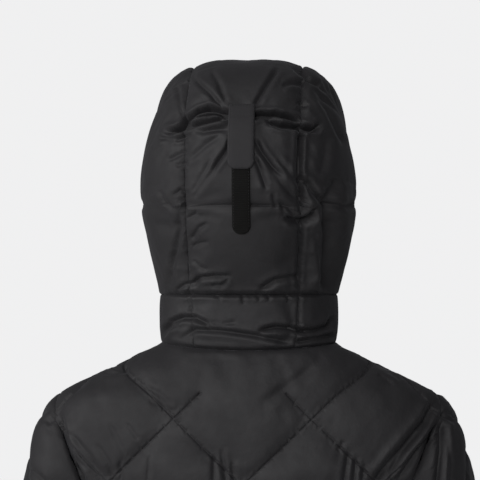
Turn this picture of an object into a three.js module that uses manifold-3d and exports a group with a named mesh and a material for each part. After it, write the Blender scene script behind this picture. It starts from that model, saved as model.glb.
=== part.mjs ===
// A hooded quilted parka on the pose of a standing figure, with the front zip closed.
// Millimetres, +Z up. The garment faces -Y, and its left side is at +X.
// The origin is the middle of the neck ring, where the collar is sewn to the body.
// Each cut piece of cloth is one closed wall: a plain inside and an outside raised by the quilting.
import * as THREE from "three";
import Module from "manifold-3d";

const WALL = 4; // shell, filling and lining pressed together at a seam
const SEAM = 0.15; // each piece stops this far short of the seam line
const SQUARE = 2.4; // exponent of the body sections
const HOOD_SQUARE = 2.3; // exponent of the hood ribs on the side of the face
const PUFF_BODY = 10;
const PUFF_SLEEVE = 11;
const PUFF_HOOD = 10;
const PUFF_COLLAR = 5;

const HEM_Z = -860;
const DIAMOND_HALF_WIDTH = 79;
const DIAMOND_HALF_HEIGHT = 75.5;
const DIAMOND_CORNER_Z = -156; // a corner of the quilting lies here on the centre back
const STEPS = 5; // mesh steps in half a diamond

const NECK_HALF_WIDTH = 102;
const NECK_BACK_Z = -3;
const NECK_SIDE_Z = 4;
const NECK_FRONT_Z = -65;
const ARMHOLE_TOP_Z = -57;
const ARMHOLE_LOW_Z = -245;
const ARMHOLE_BACK = 72;
const ARMHOLE_FRONT = 80;
const ARMHOLE_STEPS = 16;

const COLLAR_HEIGHT = 62;
const COLLAR_RADIUS = 90;
const COLLAR_DIP = 41; // how much lower the collar's top edge is at the chin
const HOOD_LENGTH = 461; // along the middle of the hood, from the nape to the forehead
const HOOD_SIDE = 190; // nominal width of a side panel of the hood
const CHIN_ANGLE = 150; // the hood is sewn to the collar as far round as this

const ZIP_EDGE = 5; // the front edges stop this far from the middle
const TAPE_WIDTH = 13;
const TAPE_TOP = -4.7;
const TAPE_THICK = 1.2;
const TAPE_LEAN = 2.3; // the outer edge of a tape lies this much deeper, as the body curves away
const CHAIN_HALF = 3;
const CHAIN_TOP = -0.6;

const TAB_HALF_WIDTH = 14.2;
const TAB_FROM = 149;
const TAB_TO = 222;
const STRIP_HALF_WIDTH = 10;
const STRIP_FROM = 78;
const STRIP_TO = 214;

// Body sections at the level of the seams: height, half width, depth behind and before the side line.
const BODY = [
  { z: 10, half: 98, back: 78, front: 40 },
  { z: 4, half: 102, back: 79, front: 43 },
  { z: -3, half: 110, back: 80, front: 46 },
  { z: -10, half: 124, back: 82, front: 49 },
  { z: -28, half: 162, back: 88, front: 57 },
  { z: -44, half: 195, back: 93, front: 64 },
  { z: -57, half: 221, back: 97, front: 71 },
  { z: -72, half: 235, back: 100, front: 77 },
  { z: -88, half: 243, back: 103, front: 84 },
  { z: -118, half: 246, back: 106, front: 99 },
  { z: -148, half: 236, back: 108, front: 111 },
  { z: -200, half: 202, back: 107, front: 121 },
  { z: -245, half: 176, back: 106, front: 126 },
  { z: -300, half: 171, back: 104, front: 128 },
  { z: -430, half: 170, back: 104, front: 128 },
  { z: -600, half: 184, back: 122, front: 136 },
  { z: -860, half: 206, back: 146, front: 148 },
];

// Sleeve sections: distance down the arm from the armpit, middle, half width and half depth.
const SLEEVE = [
  { w: 0, x: 226, y: -2, z: -246, half: 48, deep: 77 },
  { w: 90, x: 246, y: -3, z: -334, half: 48, deep: 70 },
  { w: 180, x: 268, y: -6, z: -421, half: 49, deep: 64 },
  { w: 280, x: 292, y: -18, z: -517, half: 48, deep: 60 },
  { w: 380, x: 314, y: -34, z: -613, half: 46, deep: 56 },
  { w: 430, x: 325, y: -43, z: -661, half: 44, deep: 53 },
];

// Hood ribs: distance along the middle, point on the middle (back, up), point where the rib is widest,
// half width there, depth in front of it, the angle at which the rib meets the face opening and the
// exponent of its curve behind that point, which is squarer over the crown.
const HOOD = [
  { l: 0, backY: 82, backZ: 61, midY: 0, midZ: 60, half: 103, front: 92, end: 150, square: 2.3 },
  { l: 42, backY: 97, backZ: 100, midY: 0, midZ: 90, half: 103.5, front: 102.6, end: 140.6, square: 2.3 },
  { l: 95, backY: 115, backZ: 150, midY: 0, midZ: 128, half: 110, front: 117.5, end: 132.8, square: 2.3 },
  { l: 135.5, backY: 122, backZ: 190, midY: 0, midZ: 156, half: 116.5, front: 126.6, end: 128.6, square: 2.3 },
  { l: 186, backY: 118, backZ: 240, midY: -5, midZ: 183, half: 117.5, front: 139.7, end: 122.8, square: 2.3 },
  { l: 235, backY: 98, backZ: 285, midY: -15, midZ: 203, half: 114, front: 172, end: 114.5, square: 2.5 },
  { l: 285, backY: 60, backZ: 319, midY: -32, midZ: 218, half: 110, front: 215, end: 106.5, square: 2.9 },
  { l: 337, backY: 10, backZ: 332, midY: -52, midZ: 228, half: 107, front: 247, end: 101.8, square: 3.2 },
  { l: 392, backY: -45, backZ: 322, midY: -72, midZ: 234, half: 107, front: 262, end: 98.4, square: 3.2 },
  { l: 461, backY: -105, backZ: 288, midY: -96, midZ: 232, half: 104, front: 262, end: 96, square: 3 },
];
const HOOD_SEAM = [
  { l: 0, x: 63 },
  { l: 95, x: 64.5 },
  { l: 186, x: 65.5 },
  { l: 337, x: 64 },
  { l: 461, x: 58 },
];
const CENTRE_QUILTING = [0, 110, 213, 337, 461]; // seams across the middle panel
const SIDE_QUILTING_L = 278; // a seam along this rib of the side panels
const SIDE_QUILTING_Z = 166; // and one at this height

// Smooth monotone curve through two columns of a table.
function curve(rows, from, to) {
  const points = rows.map((row) => [row[from], row[to]]).sort((a, b) => a[0] - b[0]);
  const last = points.length - 1;
  const secant = [];
  for (let i = 0; i < last; i++) {
    secant.push((points[i + 1][1] - points[i][1]) / (points[i + 1][0] - points[i][0]));
  }
  const slope = points.map((_, i) => {
    if (i === 0) return secant[0];
    if (i === last) return secant[last - 1];
    const product = secant[i - 1] * secant[i];
    return product <= 0 ? 0 : (2 * product) / (secant[i - 1] + secant[i]);
  });
  return (value) => {
    let i = 0;
    while (i < last - 1 && value > points[i + 1][0]) i++;
    const span = points[i + 1][0] - points[i][0];
    const t = (value - points[i][0]) / span;
    if (t < 0) return points[0][1] + slope[0] * (value - points[0][0]);
    if (t > 1) return points[last][1] + slope[last] * (value - points[last][0]);
    const rise = points[i + 1][1] - points[i][1];
    const bend = slope[i] * span * t * (1 - t) * (1 - t) - slope[i + 1] * span * t * t * (1 - t);
    return points[i][1] + rise * t * t * (3 - 2 * t) + bend;
  };
}

const radians = (degrees) => (degrees * Math.PI) / 180;
const smoothstep = (value) => {
  const t = Math.min(1, Math.max(0, value));
  return t * t * (3 - 2 * t);
};
const lerp = (a, b, t) => a + (b - a) * t;

// Body

const bodyHalf = curve(BODY, "z", "half");
const bodyBack = curve(BODY, "z", "back");
const bodyFront = curve(BODY, "z", "front");
const bodyDepth = (z, side) => (side > 0 ? bodyBack(z) : bodyFront(z));

const sectionCache = new Map();
function section(z, side) {
  const key = z.toFixed(4) + "," + side;
  if (!sectionCache.has(key)) {
    const half = bodyHalf(z);
    const deep = bodyDepth(z, side);
    const list = [{ arc: 0, x: 0, y: side * deep }];
    for (let k = 1; k <= 60; k++) {
      const angle = (k / 60) * (Math.PI / 2);
      const x = half * Math.sin(angle) ** (2 / SQUARE);
      const y = k === 60 ? 0 : side * deep * Math.cos(angle) ** (2 / SQUARE);
      const before = list[k - 1];
      list.push({ arc: before.arc + Math.hypot(x - before.x, y - before.y), x, y });
    }
    sectionCache.set(key, list);
  }
  return sectionCache.get(key);
}
const girth = (z, side) => section(z, side)[60].arc;

function bodyNormal(x, y, z) {
  const side = y >= 0 ? 1 : -1;
  const half = bodyHalf(z);
  const deep = bodyDepth(z, side);
  const halfSlope = (bodyHalf(z + 1) - bodyHalf(z - 1)) / 2;
  const deepSlope = (bodyDepth(z + 1, side) - bodyDepth(z - 1, side)) / 2;
  const rx = Math.abs(x) / half;
  const ry = Math.abs(y) / deep;
  return new THREE.Vector3(
    (Math.sign(x) * rx ** (SQUARE - 1)) / half,
    (side * ry ** (SQUARE - 1)) / deep,
    -(rx ** SQUARE * halfSlope) / half - (ry ** SQUARE * deepSlope) / deep,
  ).normalize();
}

// The body at a height, at a distance round from the centre back (side 1) or centre front (side -1).
function bodyAt(u, z, side) {
  const list = section(z, side);
  const want = Math.min(Math.abs(u), list[60].arc);
  let k = 1;
  while (k < 60 && list[k].arc < want) k++;
  const t = (want - list[k - 1].arc) / (list[k].arc - list[k - 1].arc);
  const x = Math.sign(u) * lerp(list[k - 1].x, list[k].x, t);
  const y = lerp(list[k - 1].y, list[k].y, t);
  return { point: new THREE.Vector3(x, y, z), normal: bodyNormal(x, y, z) };
}

// The distance round of a point of the body surface.
function roundOf(point, side) {
  const list = section(point.z, side);
  const deep = bodyDepth(point.z, side);
  const half = bodyHalf(point.z);
  const sine = (Math.abs(point.x) / half) ** (SQUARE / 2);
  const cosine = (Math.abs(point.y) / deep) ** (SQUARE / 2);
  const place = (Math.atan2(sine, cosine) / (Math.PI / 2)) * 60;
  const k = Math.min(59, Math.floor(place));
  return lerp(list[k].arc, list[k + 1].arc, place - k);
}

const onBody = (x, z, side) => {
  const ratio = Math.min(1, (Math.abs(x) / bodyHalf(z)) ** SQUARE);
  return new THREE.Vector3(x, side * bodyDepth(z, side) * (1 - ratio) ** (1 / SQUARE), z);
};

// Neck ring: angle 0 at the centre back, 90 at the side and 180 at the centre front.
function neckAt(angle) {
  const x = NECK_HALF_WIDTH * Math.sin(radians(angle));
  const share = Math.abs(x) / NECK_HALF_WIDTH;
  if (Math.abs(angle) <= 90) {
    return onBody(x, lerp(NECK_BACK_Z, NECK_SIDE_Z, share * share), 1);
  }
  return onBody(x, lerp(NECK_FRONT_Z, NECK_SIDE_Z, share ** 1.6), -1);
}

// Armhole of the left side: angle 90 at the shoulder, 0 behind, -90 at the armpit, 180 in front.
function armholeAt(angle) {
  const middle = (ARMHOLE_TOP_Z + ARMHOLE_LOW_Z) / 2;
  const z = middle + ((ARMHOLE_TOP_Z - ARMHOLE_LOW_Z) / 2) * Math.sin(radians(angle));
  const across = Math.cos(radians(angle));
  const y = across * (across > 0 ? ARMHOLE_BACK : ARMHOLE_FRONT);
  const deep = bodyDepth(z, y >= 0 ? 1 : -1);
  const x = bodyHalf(z) * (1 - (Math.abs(y) / deep) ** SQUARE) ** (1 / SQUARE);
  return new THREE.Vector3(x, y, z);
}

// Hood

const hoodCurve = {};
for (const key of ["backY", "backZ", "midY", "midZ", "half", "front", "end", "square"]) {
  hoodCurve[key] = curve(HOOD, "l", key);
}
const hoodSeam = curve(HOOD_SEAM, "l", "x");

function hoodPoint(angle, l) {
  const value = {};
  for (const key in hoodCurve) value[key] = hoodCurve[key](l);
  const toBack = new THREE.Vector2(value.backY - value.midY, value.backZ - value.midZ);
  const depth = toBack.length();
  toBack.normalize();
  const a = radians(Math.abs(angle));
  const cosine = Math.cos(a);
  const square = cosine > 0 ? value.square : HOOD_SQUARE;
  const reach = Math.sign(cosine) * Math.abs(cosine) ** (2 / square);
  const along = reach * (cosine > 0 ? depth : value.front);
  const x = Math.sign(angle) * value.half * Math.abs(Math.sin(a)) ** (2 / square);
  const low = Math.max(0, 1 - l / 115);
  const dip = COLLAR_DIP * low * low * smoothstep((Math.abs(angle) - 100) / 80);
  return new THREE.Vector3(x, value.midY + toBack.x * along, value.midZ + toBack.y * along - dip);
}
const hoodAngleOf = (x, l) => {
  const ratio = Math.min(1, Math.abs(x) / hoodCurve.half(l));
  return (Math.sign(x) * Math.asin(ratio ** (hoodCurve.square(l) / 2)) * 180) / Math.PI;
};

// A surface given by a function of two distances, with its outward normal.
function surface(place, outward) {
  return (u, w) => {
    const step = 0.5;
    const du = place(u + step, w).sub(place(u - step, w));
    const dw = place(u, w + step).sub(place(u, w - step));
    const normal = du.cross(dw).normalize();
    const point = place(u, w);
    if (normal.dot(outward(point)) < 0) normal.negate();
    return { point, normal };
  };
}
const fromAxis = (p) => new THREE.Vector3(p.x, p.y, 0);
const fromHead = (p) => new THREE.Vector3(p.x, p.y + 10, p.z - 190);

const collarPoint = (u, w) => {
  const angle = (u / COLLAR_RADIUS) * (180 / Math.PI);
  return neckAt(angle).lerp(hoodPoint(angle, 0), w / COLLAR_HEIGHT);
};
const collarAt = surface(collarPoint, fromAxis);
const hoodMiddleAt = surface((u, w) => hoodPoint(hoodAngleOf(u, w), w), fromHead);
const hoodSideAt = (side) => surface((u, w) => {
  const from = Math.abs(hoodAngleOf(hoodSeam(w), w));
  const angle = lerp(from, hoodCurve.end(w), u / HOOD_SIDE);
  return hoodPoint(side * angle, w);
}, fromHead);

// Sleeve of the left arm

const sleeveCurve = {};
for (const key of ["x", "y", "z", "half", "deep"]) sleeveCurve[key] = curve(SLEEVE, "w", key);
const SLEEVE_LENGTH = SLEEVE[SLEEVE.length - 1].w;

function armAxis(w) {
  const at = (d) => new THREE.Vector3(sleeveCurve.x(d), sleeveCurve.y(d), sleeveCurve.z(d));
  return { middle: at(w), down: at(w + 2).sub(at(w - 2)).normalize() };
}

// Angle 90 is the outer side of the arm, 0 its back, -90 its inner side and 180 its front.
function sleeveRing(angle, w) {
  const { middle, down } = armAxis(w);
  const back = new THREE.Vector3(0, 1, 0).addScaledVector(down, -down.y).normalize();
  const out = back.clone().cross(down).normalize();
  if (out.x < 0) out.negate();
  const a = radians(angle);
  return middle
    .addScaledVector(out, sleeveCurve.half(w) * Math.sin(a))
    .addScaledVector(back, sleeveCurve.deep(w) * Math.cos(a));
}

// Rounds of the pattern: distance round the ring at the armpit, from the underarm seam by way of the back.
const ringTable = [{ angle: -90, v: 0 }];
for (let k = 1; k <= 2 * ARMHOLE_STEPS; k++) {
  const angle = -90 + (180 * k) / ARMHOLE_STEPS;
  const before = ringTable[k - 1];
  const length = sleeveRing(angle, 0).distanceTo(sleeveRing(before.angle, 0));
  ringTable.push({ angle, v: before.v + length });
}
const ROUND = ringTable[ringTable.length - 1].v;
const ringAngle = (v) => {
  const round = ((v % ROUND) + ROUND) % ROUND;
  let k = 0;
  while (k < ringTable.length - 2 && round > ringTable[k + 1].v) k++;
  const t = (round - ringTable[k].v) / (ringTable[k + 1].v - ringTable[k].v);
  return lerp(ringTable[k].angle, ringTable[k + 1].angle, t);
};
const capHeight = (angle) => sleeveRing(angle, 0).distanceTo(armholeAt(angle)) * 1.04;

function sleevePoint(v, w) {
  const angle = ringAngle(v);
  if (w >= 0) return sleeveRing(angle, w);
  const low = sleeveRing(angle, 0);
  const high = armholeAt(angle);
  const length = low.distanceTo(high);
  const up = armAxis(0).down.negate();
  const share = Math.min(1, -w / capHeight(angle));
  const lift = 0.4 * length;
  const shoulder = smoothstep((Math.sin(radians(angle)) + 1) / 2);
  const away = new THREE.Vector3(0.93, 0, -0.62 * shoulder).normalize();
  const first = low.clone().addScaledVector(up, lift);
  const second = high.clone().addScaledVector(away, 0.19 * length);
  return new THREE.CubicBezierCurve3(low, first, second, high).getPoint(share);
}
const sleeveAt = surface(sleevePoint, (p) => {
  const w = Math.max(0, (sleeveCurve.z(0) - p.z) / 0.97);
  return p.clone().sub(armAxis(Math.min(w, SLEEVE_LENGTH)).middle.add(new THREE.Vector3(-20, 0, 0)));
});

// Meshing of a cut piece

function inside(outline, u, w) {
  let hit = false;
  for (let i = 0, j = outline.length - 1; i < outline.length; j = i++) {
    const a = outline[i];
    const b = outline[j];
    if (a.w > w !== b.w > w && u < ((b.u - a.u) * (w - a.w)) / (b.w - a.w) + a.u) hit = !hit;
  }
  return hit;
}

function edgeDistance(outline, u, w) {
  let best = Infinity;
  for (let i = 0, j = outline.length - 1; i < outline.length; j = i++) {
    const a = outline[j];
    const b = outline[i];
    const du = b.u - a.u;
    const dw = b.w - a.w;
    const t = ((u - a.u) * du + (w - a.w) * dw) / (du * du + dw * dw);
    const near = Math.min(1, Math.max(0, t));
    best = Math.min(best, Math.hypot(u - a.u - near * du, w - a.w - near * dw));
  }
  return best;
}

// Delaunay triangles of flat points, by inserting them one at a time.
function delaunay(flat) {
  const shake = (i, k) => 0.002 * Math.sin(12.9898 * (i + 1) + 78.233 * k);
  const points = flat.map((p, i) => ({ x: p.u + shake(i, 1), y: p.w + shake(i, 2) }));
  const big = 1e5;
  points.push({ x: -big, y: -big }, { x: big, y: -big }, { x: 0, y: big });
  const circle = (a, b, c) => {
    const [p, q, r] = [points[a], points[b], points[c]];
    const d = 2 * ((q.x - p.x) * (r.y - p.y) - (q.y - p.y) * (r.x - p.x));
    const q2 = (q.x - p.x) ** 2 + (q.y - p.y) ** 2;
    const r2 = (r.x - p.x) ** 2 + (r.y - p.y) ** 2;
    const x = ((r.y - p.y) * q2 - (q.y - p.y) * r2) / d;
    const y = ((q.x - p.x) * r2 - (r.x - p.x) * q2) / d;
    return { a, b, c, x: p.x + x, y: p.y + y, r2: x * x + y * y };
  };
  const n = flat.length;
  let triangles = [circle(n, n + 1, n + 2)];
  for (let i = 0; i < n; i++) {
    const p = points[i];
    const edges = new Map();
    const kept = [];
    for (const t of triangles) {
      if ((p.x - t.x) ** 2 + (p.y - t.y) ** 2 > t.r2) {
        kept.push(t);
        continue;
      }
      for (const [a, b] of [[t.a, t.b], [t.b, t.c], [t.c, t.a]]) {
        const back = b + "," + a;
        if (edges.has(back)) edges.delete(back);
        else edges.set(a + "," + b, [a, b]);
      }
    }
    triangles = kept;
    for (const [a, b] of edges.values()) triangles.push(circle(a, b, i));
  }
  return triangles.filter((t) => t.a < n && t.b < n && t.c < n).map((t) => [t.a, t.b, t.c]);
}

// The points of a staggered lattice inside an outline, clear of its edge.
function latticeIn(outline, du, dw, originU, originW) {
  const us = outline.map((p) => p.u);
  const ws = outline.map((p) => p.w);
  const reach = 0.6 * Math.hypot(du, dw);
  const list = [];
  const from = (low, origin, step) => Math.floor((low - origin) / step);
  for (let j = from(Math.min(...ws), originW, dw); originW + j * dw < Math.max(...ws); j++) {
    for (let i = from(Math.min(...us), originU, du); originU + i * du < Math.max(...us); i++) {
      if ((i + j) % 2) continue;
      const u = originU + i * du;
      const w = originW + j * dw;
      if (inside(outline, u, w) && edgeDistance(outline, u, w) > reach) list.push({ u, w });
    }
  }
  return list;
}

function sheet(outline, lattice) {
  const points = outline.concat(lattice);
  const count = outline.length;
  const kept = delaunay(points).filter(([a, b, c]) => {
    if (a >= count || b >= count || c >= count) return true;
    const [p, q, r] = [points[a], points[b], points[c]];
    const area = Math.abs((q.u - p.u) * (r.w - p.w) - (q.w - p.w) * (r.u - p.u)) / 2;
    return area > 0.4 && inside(outline, (p.u + q.u + r.u) / 3, (p.w + q.w + r.w) / 3);
  });
  const edges = new Set();
  for (const [a, b, c] of kept) for (const [p, q] of [[a, b], [b, c], [c, a]]) edges.add(p + "," + q);
  for (let i = 0; i < count; i++) {
    const next = (i + 1) % count;
    if (!edges.has(i + "," + next)) {
      throw new Error("an outline edge is lost at " + JSON.stringify(outline[i]));
    }
  }
  return { points, triangles: kept };
}

// A closed wall. The outline runs counterclockwise. A point of it may give the direction of its rim,
// and an edge that starts at a welded point has no rim, because it meets another edge of the piece.
function clothPiece({ outline, pitch, origin = [0, 0], at, raise, wall = WALL }) {
  const top = sheet(outline, latticeIn(outline, pitch[0], pitch[1], origin[0], origin[1]));
  const low = sheet(outline, latticeIn(outline, 2 * pitch[0], 2 * pitch[1], origin[0], origin[1]));
  const count = outline.length;
  const position = [];
  const add = (v) => position.push(v.x, v.y, v.z);
  top.points.forEach((p, i) => {
    const { point, normal } = at(p.u, p.w);
    add(i < count ? point : point.addScaledVector(normal, raise(p.u, p.w)));
  });
  low.points.forEach((p, i) => {
    const { point, normal } = at(p.u, p.w);
    add(point.addScaledVector(i < count && p.rim ? p.rim : normal, -wall));
  });
  const under = top.points.length;
  const index = [];
  for (const [a, b, c] of top.triangles) index.push(a, b, c);
  for (const [a, b, c] of low.triangles) index.push(under + a, under + c, under + b);
  for (let i = 0; i < count; i++) {
    if (outline[i].weld) continue;
    const j = (i + 1) % count;
    index.push(i, under + i, under + j, i, under + j, j);
  }
  return closed(position, index);
}

// Faces are turned out if the solid came inside out.
function closed(position, index) {
  let volume = 0;
  const p = (i) => new THREE.Vector3().fromArray(position, 3 * i);
  for (let i = 0; i < index.length; i += 3) {
    volume += p(index[i]).dot(p(index[i + 1]).cross(p(index[i + 2])));
  }
  if (volume < 0) {
    for (let i = 0; i < index.length; i += 3) {
      [index[i + 1], index[i + 2]] = [index[i + 2], index[i + 1]];
    }
  }
  const geometry = new THREE.BufferGeometry();
  geometry.setAttribute("position", new THREE.Float32BufferAttribute(position, 3));
  geometry.setIndex(index);
  geometry.computeVertexNormals();
  return geometry;
}

// A strip through rings of equal length, closed at both ends.
function loft(rings) {
  const n = rings[0].length;
  const position = rings.flat().flatMap((v) => [v.x, v.y, v.z]);
  const index = [];
  for (let r = 0; r + 1 < rings.length; r++) {
    for (let k = 0; k < n; k++) {
      const a = r * n + k;
      const b = r * n + ((k + 1) % n);
      index.push(a, b, b + n, a, b + n, a + n);
    }
  }
  const contour = rings[0].map((v) => v.flat);
  const last = (rings.length - 1) * n;
  for (const [a, b, c] of THREE.ShapeUtils.triangulateShape(contour, [])) {
    index.push(a, c, b, last + a, last + b, last + c);
  }
  return closed(position, index);
}

// Quilting

const mound = (share) => Math.sin(Math.PI * Math.min(1, Math.max(0, share)));
const edgeRise = (distance, over) => Math.sin((Math.PI / 2) * Math.min(1, distance / over)) ** 0.7;
function diamond(a, b) {
  return Math.abs(Math.sin((Math.PI * (a + b)) / 2) * Math.sin((Math.PI * (a - b)) / 2)) ** 0.55;
}

// Outlines

const steps = (from, to, count) =>
  Array.from({ length: count + 1 }, (_, i) => lerp(from, to, i / count));

const shoulderZ = [-57, -50.5, -43.5, -36, -28.5, -21, -13.5, -6, 0, 4];
const sideZ = steps(HEM_Z, ARMHOLE_LOW_Z, 30);
const COLLAR_SEAM_ANGLE = 34.62; // the seams of the collar meet those of the hood
const neckAngles = [0, 8.6, 17.3, 26, COLLAR_SEAM_ANGLE, 46, 59, 73, 90, 103, 115, 127, 139, 150, 159, 168, 177.2];
const NECK_SEAM = neckAngles.indexOf(COLLAR_SEAM_ANGLE);
const NECK_SIDE = neckAngles.indexOf(90);
const NECK_CHIN = neckAngles.indexOf(CHIN_ANGLE);

// Over the crown the hood is pulled smooth.
const crown = (l) => 1 - 0.45 * smoothstep((l - 225) / 60);

// The rim between two pieces leans half way between their normals.
const between = (a, b) => a.clone().add(b).normalize();
const neckRim = (angle) => between(
  bodyNormal(...neckAt(angle).toArray()),
  collarAt((radians(angle)) * COLLAR_RADIUS, 0.5).normal,
);
const armholeRim = (k) => {
  const { angle, v } = ringTable[k];
  const cap = capHeight(angle);
  return between(bodyNormal(...armholeAt(angle).toArray()), sleeveAt(v, 1 - cap).normal);
};
const mirrored = (v) => new THREE.Vector3(-v.x, v.y, v.z);

// The armhole, side and shoulder of a half body, from the hem up to the neck.
function bodySideEdge(side) {
  const edge = sideZ.map((z) => ({ u: girth(z, side) - SEAM, w: z }));
  edge[edge.length - 1].rim = armholeRim(0);
  for (let k = 1; k < ARMHOLE_STEPS; k++) {
    const index = side > 0 ? k : 2 * ARMHOLE_STEPS - k;
    const point = armholeAt(ringTable[index].angle);
    const inward = side * Math.cos(radians(ringTable[index].angle));
    const shift = SEAM * Math.max(0.3, Math.abs(inward));
    const up = SEAM * Math.sin(radians(ringTable[index].angle));
    edge.push({ u: roundOf(point, side) - shift, w: point.z + up, rim: armholeRim(index) });
  }
  shoulderZ.forEach((z, i) => {
    const entry = { u: girth(z, side) - SEAM, w: z };
    if (i === 0) entry.rim = armholeRim(ARMHOLE_STEPS);
    if (i === shoulderZ.length - 1) entry.rim = neckRim(90);
    if (i === shoulderZ.length - 1) entry.w -= SEAM;
    edge.push(entry);
  });
  return edge;
}

function backOutline() {
  const right = bodySideEdge(1);
  const top = [];
  for (let k = NECK_SIDE - 1; k >= 0; k--) {
    const point = neckAt(neckAngles[k]);
    top.push({ u: roundOf(point, 1), w: point.z - SEAM, rim: neckRim(neckAngles[k]) });
  }
  const half = right.concat(top);
  const other = half.slice(0, -1).reverse().map((p) => ({
    u: -p.u,
    w: p.w,
    rim: p.rim && mirrored(p.rim),
  }));
  const hem = [];
  const hemHalf = right[0].u;
  for (const u of steps(-hemHalf, hemHalf, 28).slice(1, -1)) hem.push({ u, w: HEM_Z });
  return half.concat(other, hem);
}

// Front of the left side; the right one is its mirror image.
function frontOutline() {
  const edge = bodySideEdge(-1);
  for (let k = NECK_SIDE + 1; k < neckAngles.length; k++) {
    const point = neckAt(neckAngles[k]);
    const u = k === neckAngles.length - 1 ? ZIP_EDGE : roundOf(point, -1);
    edge.push({ u, w: point.z - SEAM, rim: neckRim(neckAngles[k]) });
  }
  for (const z of steps(NECK_FRONT_Z, HEM_Z, 38).slice(1)) edge.push({ u: ZIP_EDGE, w: z });
  const hemHalf = edge[0].u;
  for (const u of steps(ZIP_EDGE, hemHalf, 14).slice(1, -1)) edge.push({ u, w: HEM_Z });
  return edge;
}

const bodyPitch = [DIAMOND_HALF_WIDTH / STEPS, DIAMOND_HALF_HEIGHT / STEPS];

// Under the collar of the back the stitching stops, and one chamber reaches from seam to seam.
function unstitched(u, w) {
  return smoothstep((w + 58) / 22) * (1 - smoothstep((Math.abs(u) - 50) / 26));
}

function bodyRaise(outline, open) {
  return (u, w) => {
    const a = u / DIAMOND_HALF_WIDTH;
    const b = (w - DIAMOND_CORNER_Z) / DIAMOND_HALF_HEIGHT;
    const edge = edgeRise(edgeDistance(outline, u, w), 34);
    const hem = smoothstep((w - HEM_Z - 26) / 30);
    const quilting = lerp(diamond(a, b), 1, open(u, w));
    return PUFF_BODY * quilting * edge * hem + 0.4;
  };
}

const backOutlineLoop = backOutline();
const frontOutlineLoop = frontOutline();
const backGeometry = clothPiece({
  outline: backOutlineLoop,
  pitch: bodyPitch,
  origin: [0, DIAMOND_CORNER_Z],
  at: (u, w) => bodyAt(u, w, 1),
  raise: bodyRaise(backOutlineLoop, unstitched),
});
const frontGeometry = clothPiece({
  outline: frontOutlineLoop,
  pitch: bodyPitch,
  origin: [0, DIAMOND_CORNER_Z],
  at: (u, w) => bodyAt(u, w, -1),
  raise: bodyRaise(frontOutlineLoop, () => 0),
});

// Sleeve pattern: the cap at the top, the underarm edges welded to each other

const CUFF_ROWS = 22;
function sleeveOutline() {
  const outline = [];
  for (const w of steps(0, SLEEVE_LENGTH, CUFF_ROWS).reverse()) outline.push({ u: ROUND, w: w });
  for (let k = 2 * ARMHOLE_STEPS; k >= 0; k--) {
    const w = SEAM - capHeight(ringTable[k].angle);
    outline.push({ u: ringTable[k].v, w, rim: armholeRim(k % (2 * ARMHOLE_STEPS)) });
  }
  for (const w of steps(0, SLEEVE_LENGTH, CUFF_ROWS)) outline.push({ u: 0, w });
  const cuff = steps(0, ROUND, 24).slice(1, -1);
  for (const u of cuff) outline.push({ u, w: SLEEVE_LENGTH });
  const flipped = outline.map((p) => ({ ...p, w: -p.w }));
  const weldBefore = CUFF_ROWS + 1;
  const weldAfter = CUFF_ROWS + 1 + 2 * ARMHOLE_STEPS;
  flipped.forEach((p, i) => {
    if (i < weldBefore) p.weld = true;
    if (i >= weldAfter && i < weldAfter + CUFF_ROWS + 1) p.weld = true;
  });
  return flipped;
}
const sleeveLoop = sleeveOutline();
const SLEEVE_HALF_WIDTH = ROUND / 6;
const SLEEVE_CORNER = 118; // above the armpit ring, on the outer side of the arm
const sleeveGeometry = clothPiece({
  outline: sleeveLoop,
  pitch: [SLEEVE_HALF_WIDTH / STEPS, DIAMOND_HALF_HEIGHT / STEPS],
  origin: [ROUND / 2, SLEEVE_CORNER],
  at: (u, w) => sleeveAt(u, -w),
  raise: (u, w) => {
    const a = (u - ROUND / 2) / SLEEVE_HALF_WIDTH;
    const b = (w - SLEEVE_CORNER) / DIAMOND_HALF_HEIGHT;
    const cuff = smoothstep((w + SLEEVE_LENGTH - 24) / 26);
    const inner = 0.3 + 0.7 * smoothstep(edgeDistance(sleeveLoop, u, w) / 60);
    const edge = edgeRise(edgeDistance(sleeveLoop, u, w), 30);
    return PUFF_SLEEVE * diamond(a, b) * edge * cuff * inner + 0.3;
  },
});

// Collar: a middle piece and two that run round to the zip

function collarOutline(fromIndex, toIndex, both) {
  const angles = neckAngles.slice(fromIndex, toIndex + 1);
  const right = both ? angles.slice(1).reverse().map((a) => -a).concat(angles) : angles;
  const place = (angle) => radians(angle) * COLLAR_RADIUS;
  const inset = (i) => (i === 0 ? SEAM : i === right.length - 1 ? -SEAM : 0);
  const bottom = right.map((angle, i) => ({
    u: place(angle) + inset(i),
    w: SEAM,
    rim: angle < 0 ? mirrored(neckRim(-angle)) : neckRim(angle),
  }));
  const top = right.map((angle, i) => ({
    u: place(angle) + inset(i),
    w: COLLAR_HEIGHT - SEAM,
    rim: angle < 0 ? mirrored(collarTopRim(-angle)) : collarTopRim(angle),
  })).reverse();
  const rows = steps(0, COLLAR_HEIGHT, 4).slice(1, -1);
  const lastU = bottom[bottom.length - 1].u;
  const up = rows.map((w) => ({ u: lastU, w }));
  const down = rows.map((w) => ({ u: bottom[0].u, w })).reverse();
  return bottom.concat(up, top, down);
}
function collarTopRim(angle) {
  const collar = collarAt(radians(angle) * COLLAR_RADIUS, COLLAR_HEIGHT - 0.5).normal;
  if (angle > CHIN_ANGLE) return collar;
  const above = surface((u, w) => hoodPoint(u, w), fromHead)(Math.max(angle, 0.6), 0.6).normal;
  above.x = angle === 0 ? 0 : above.x;
  return between(collar, above);
}
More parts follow.
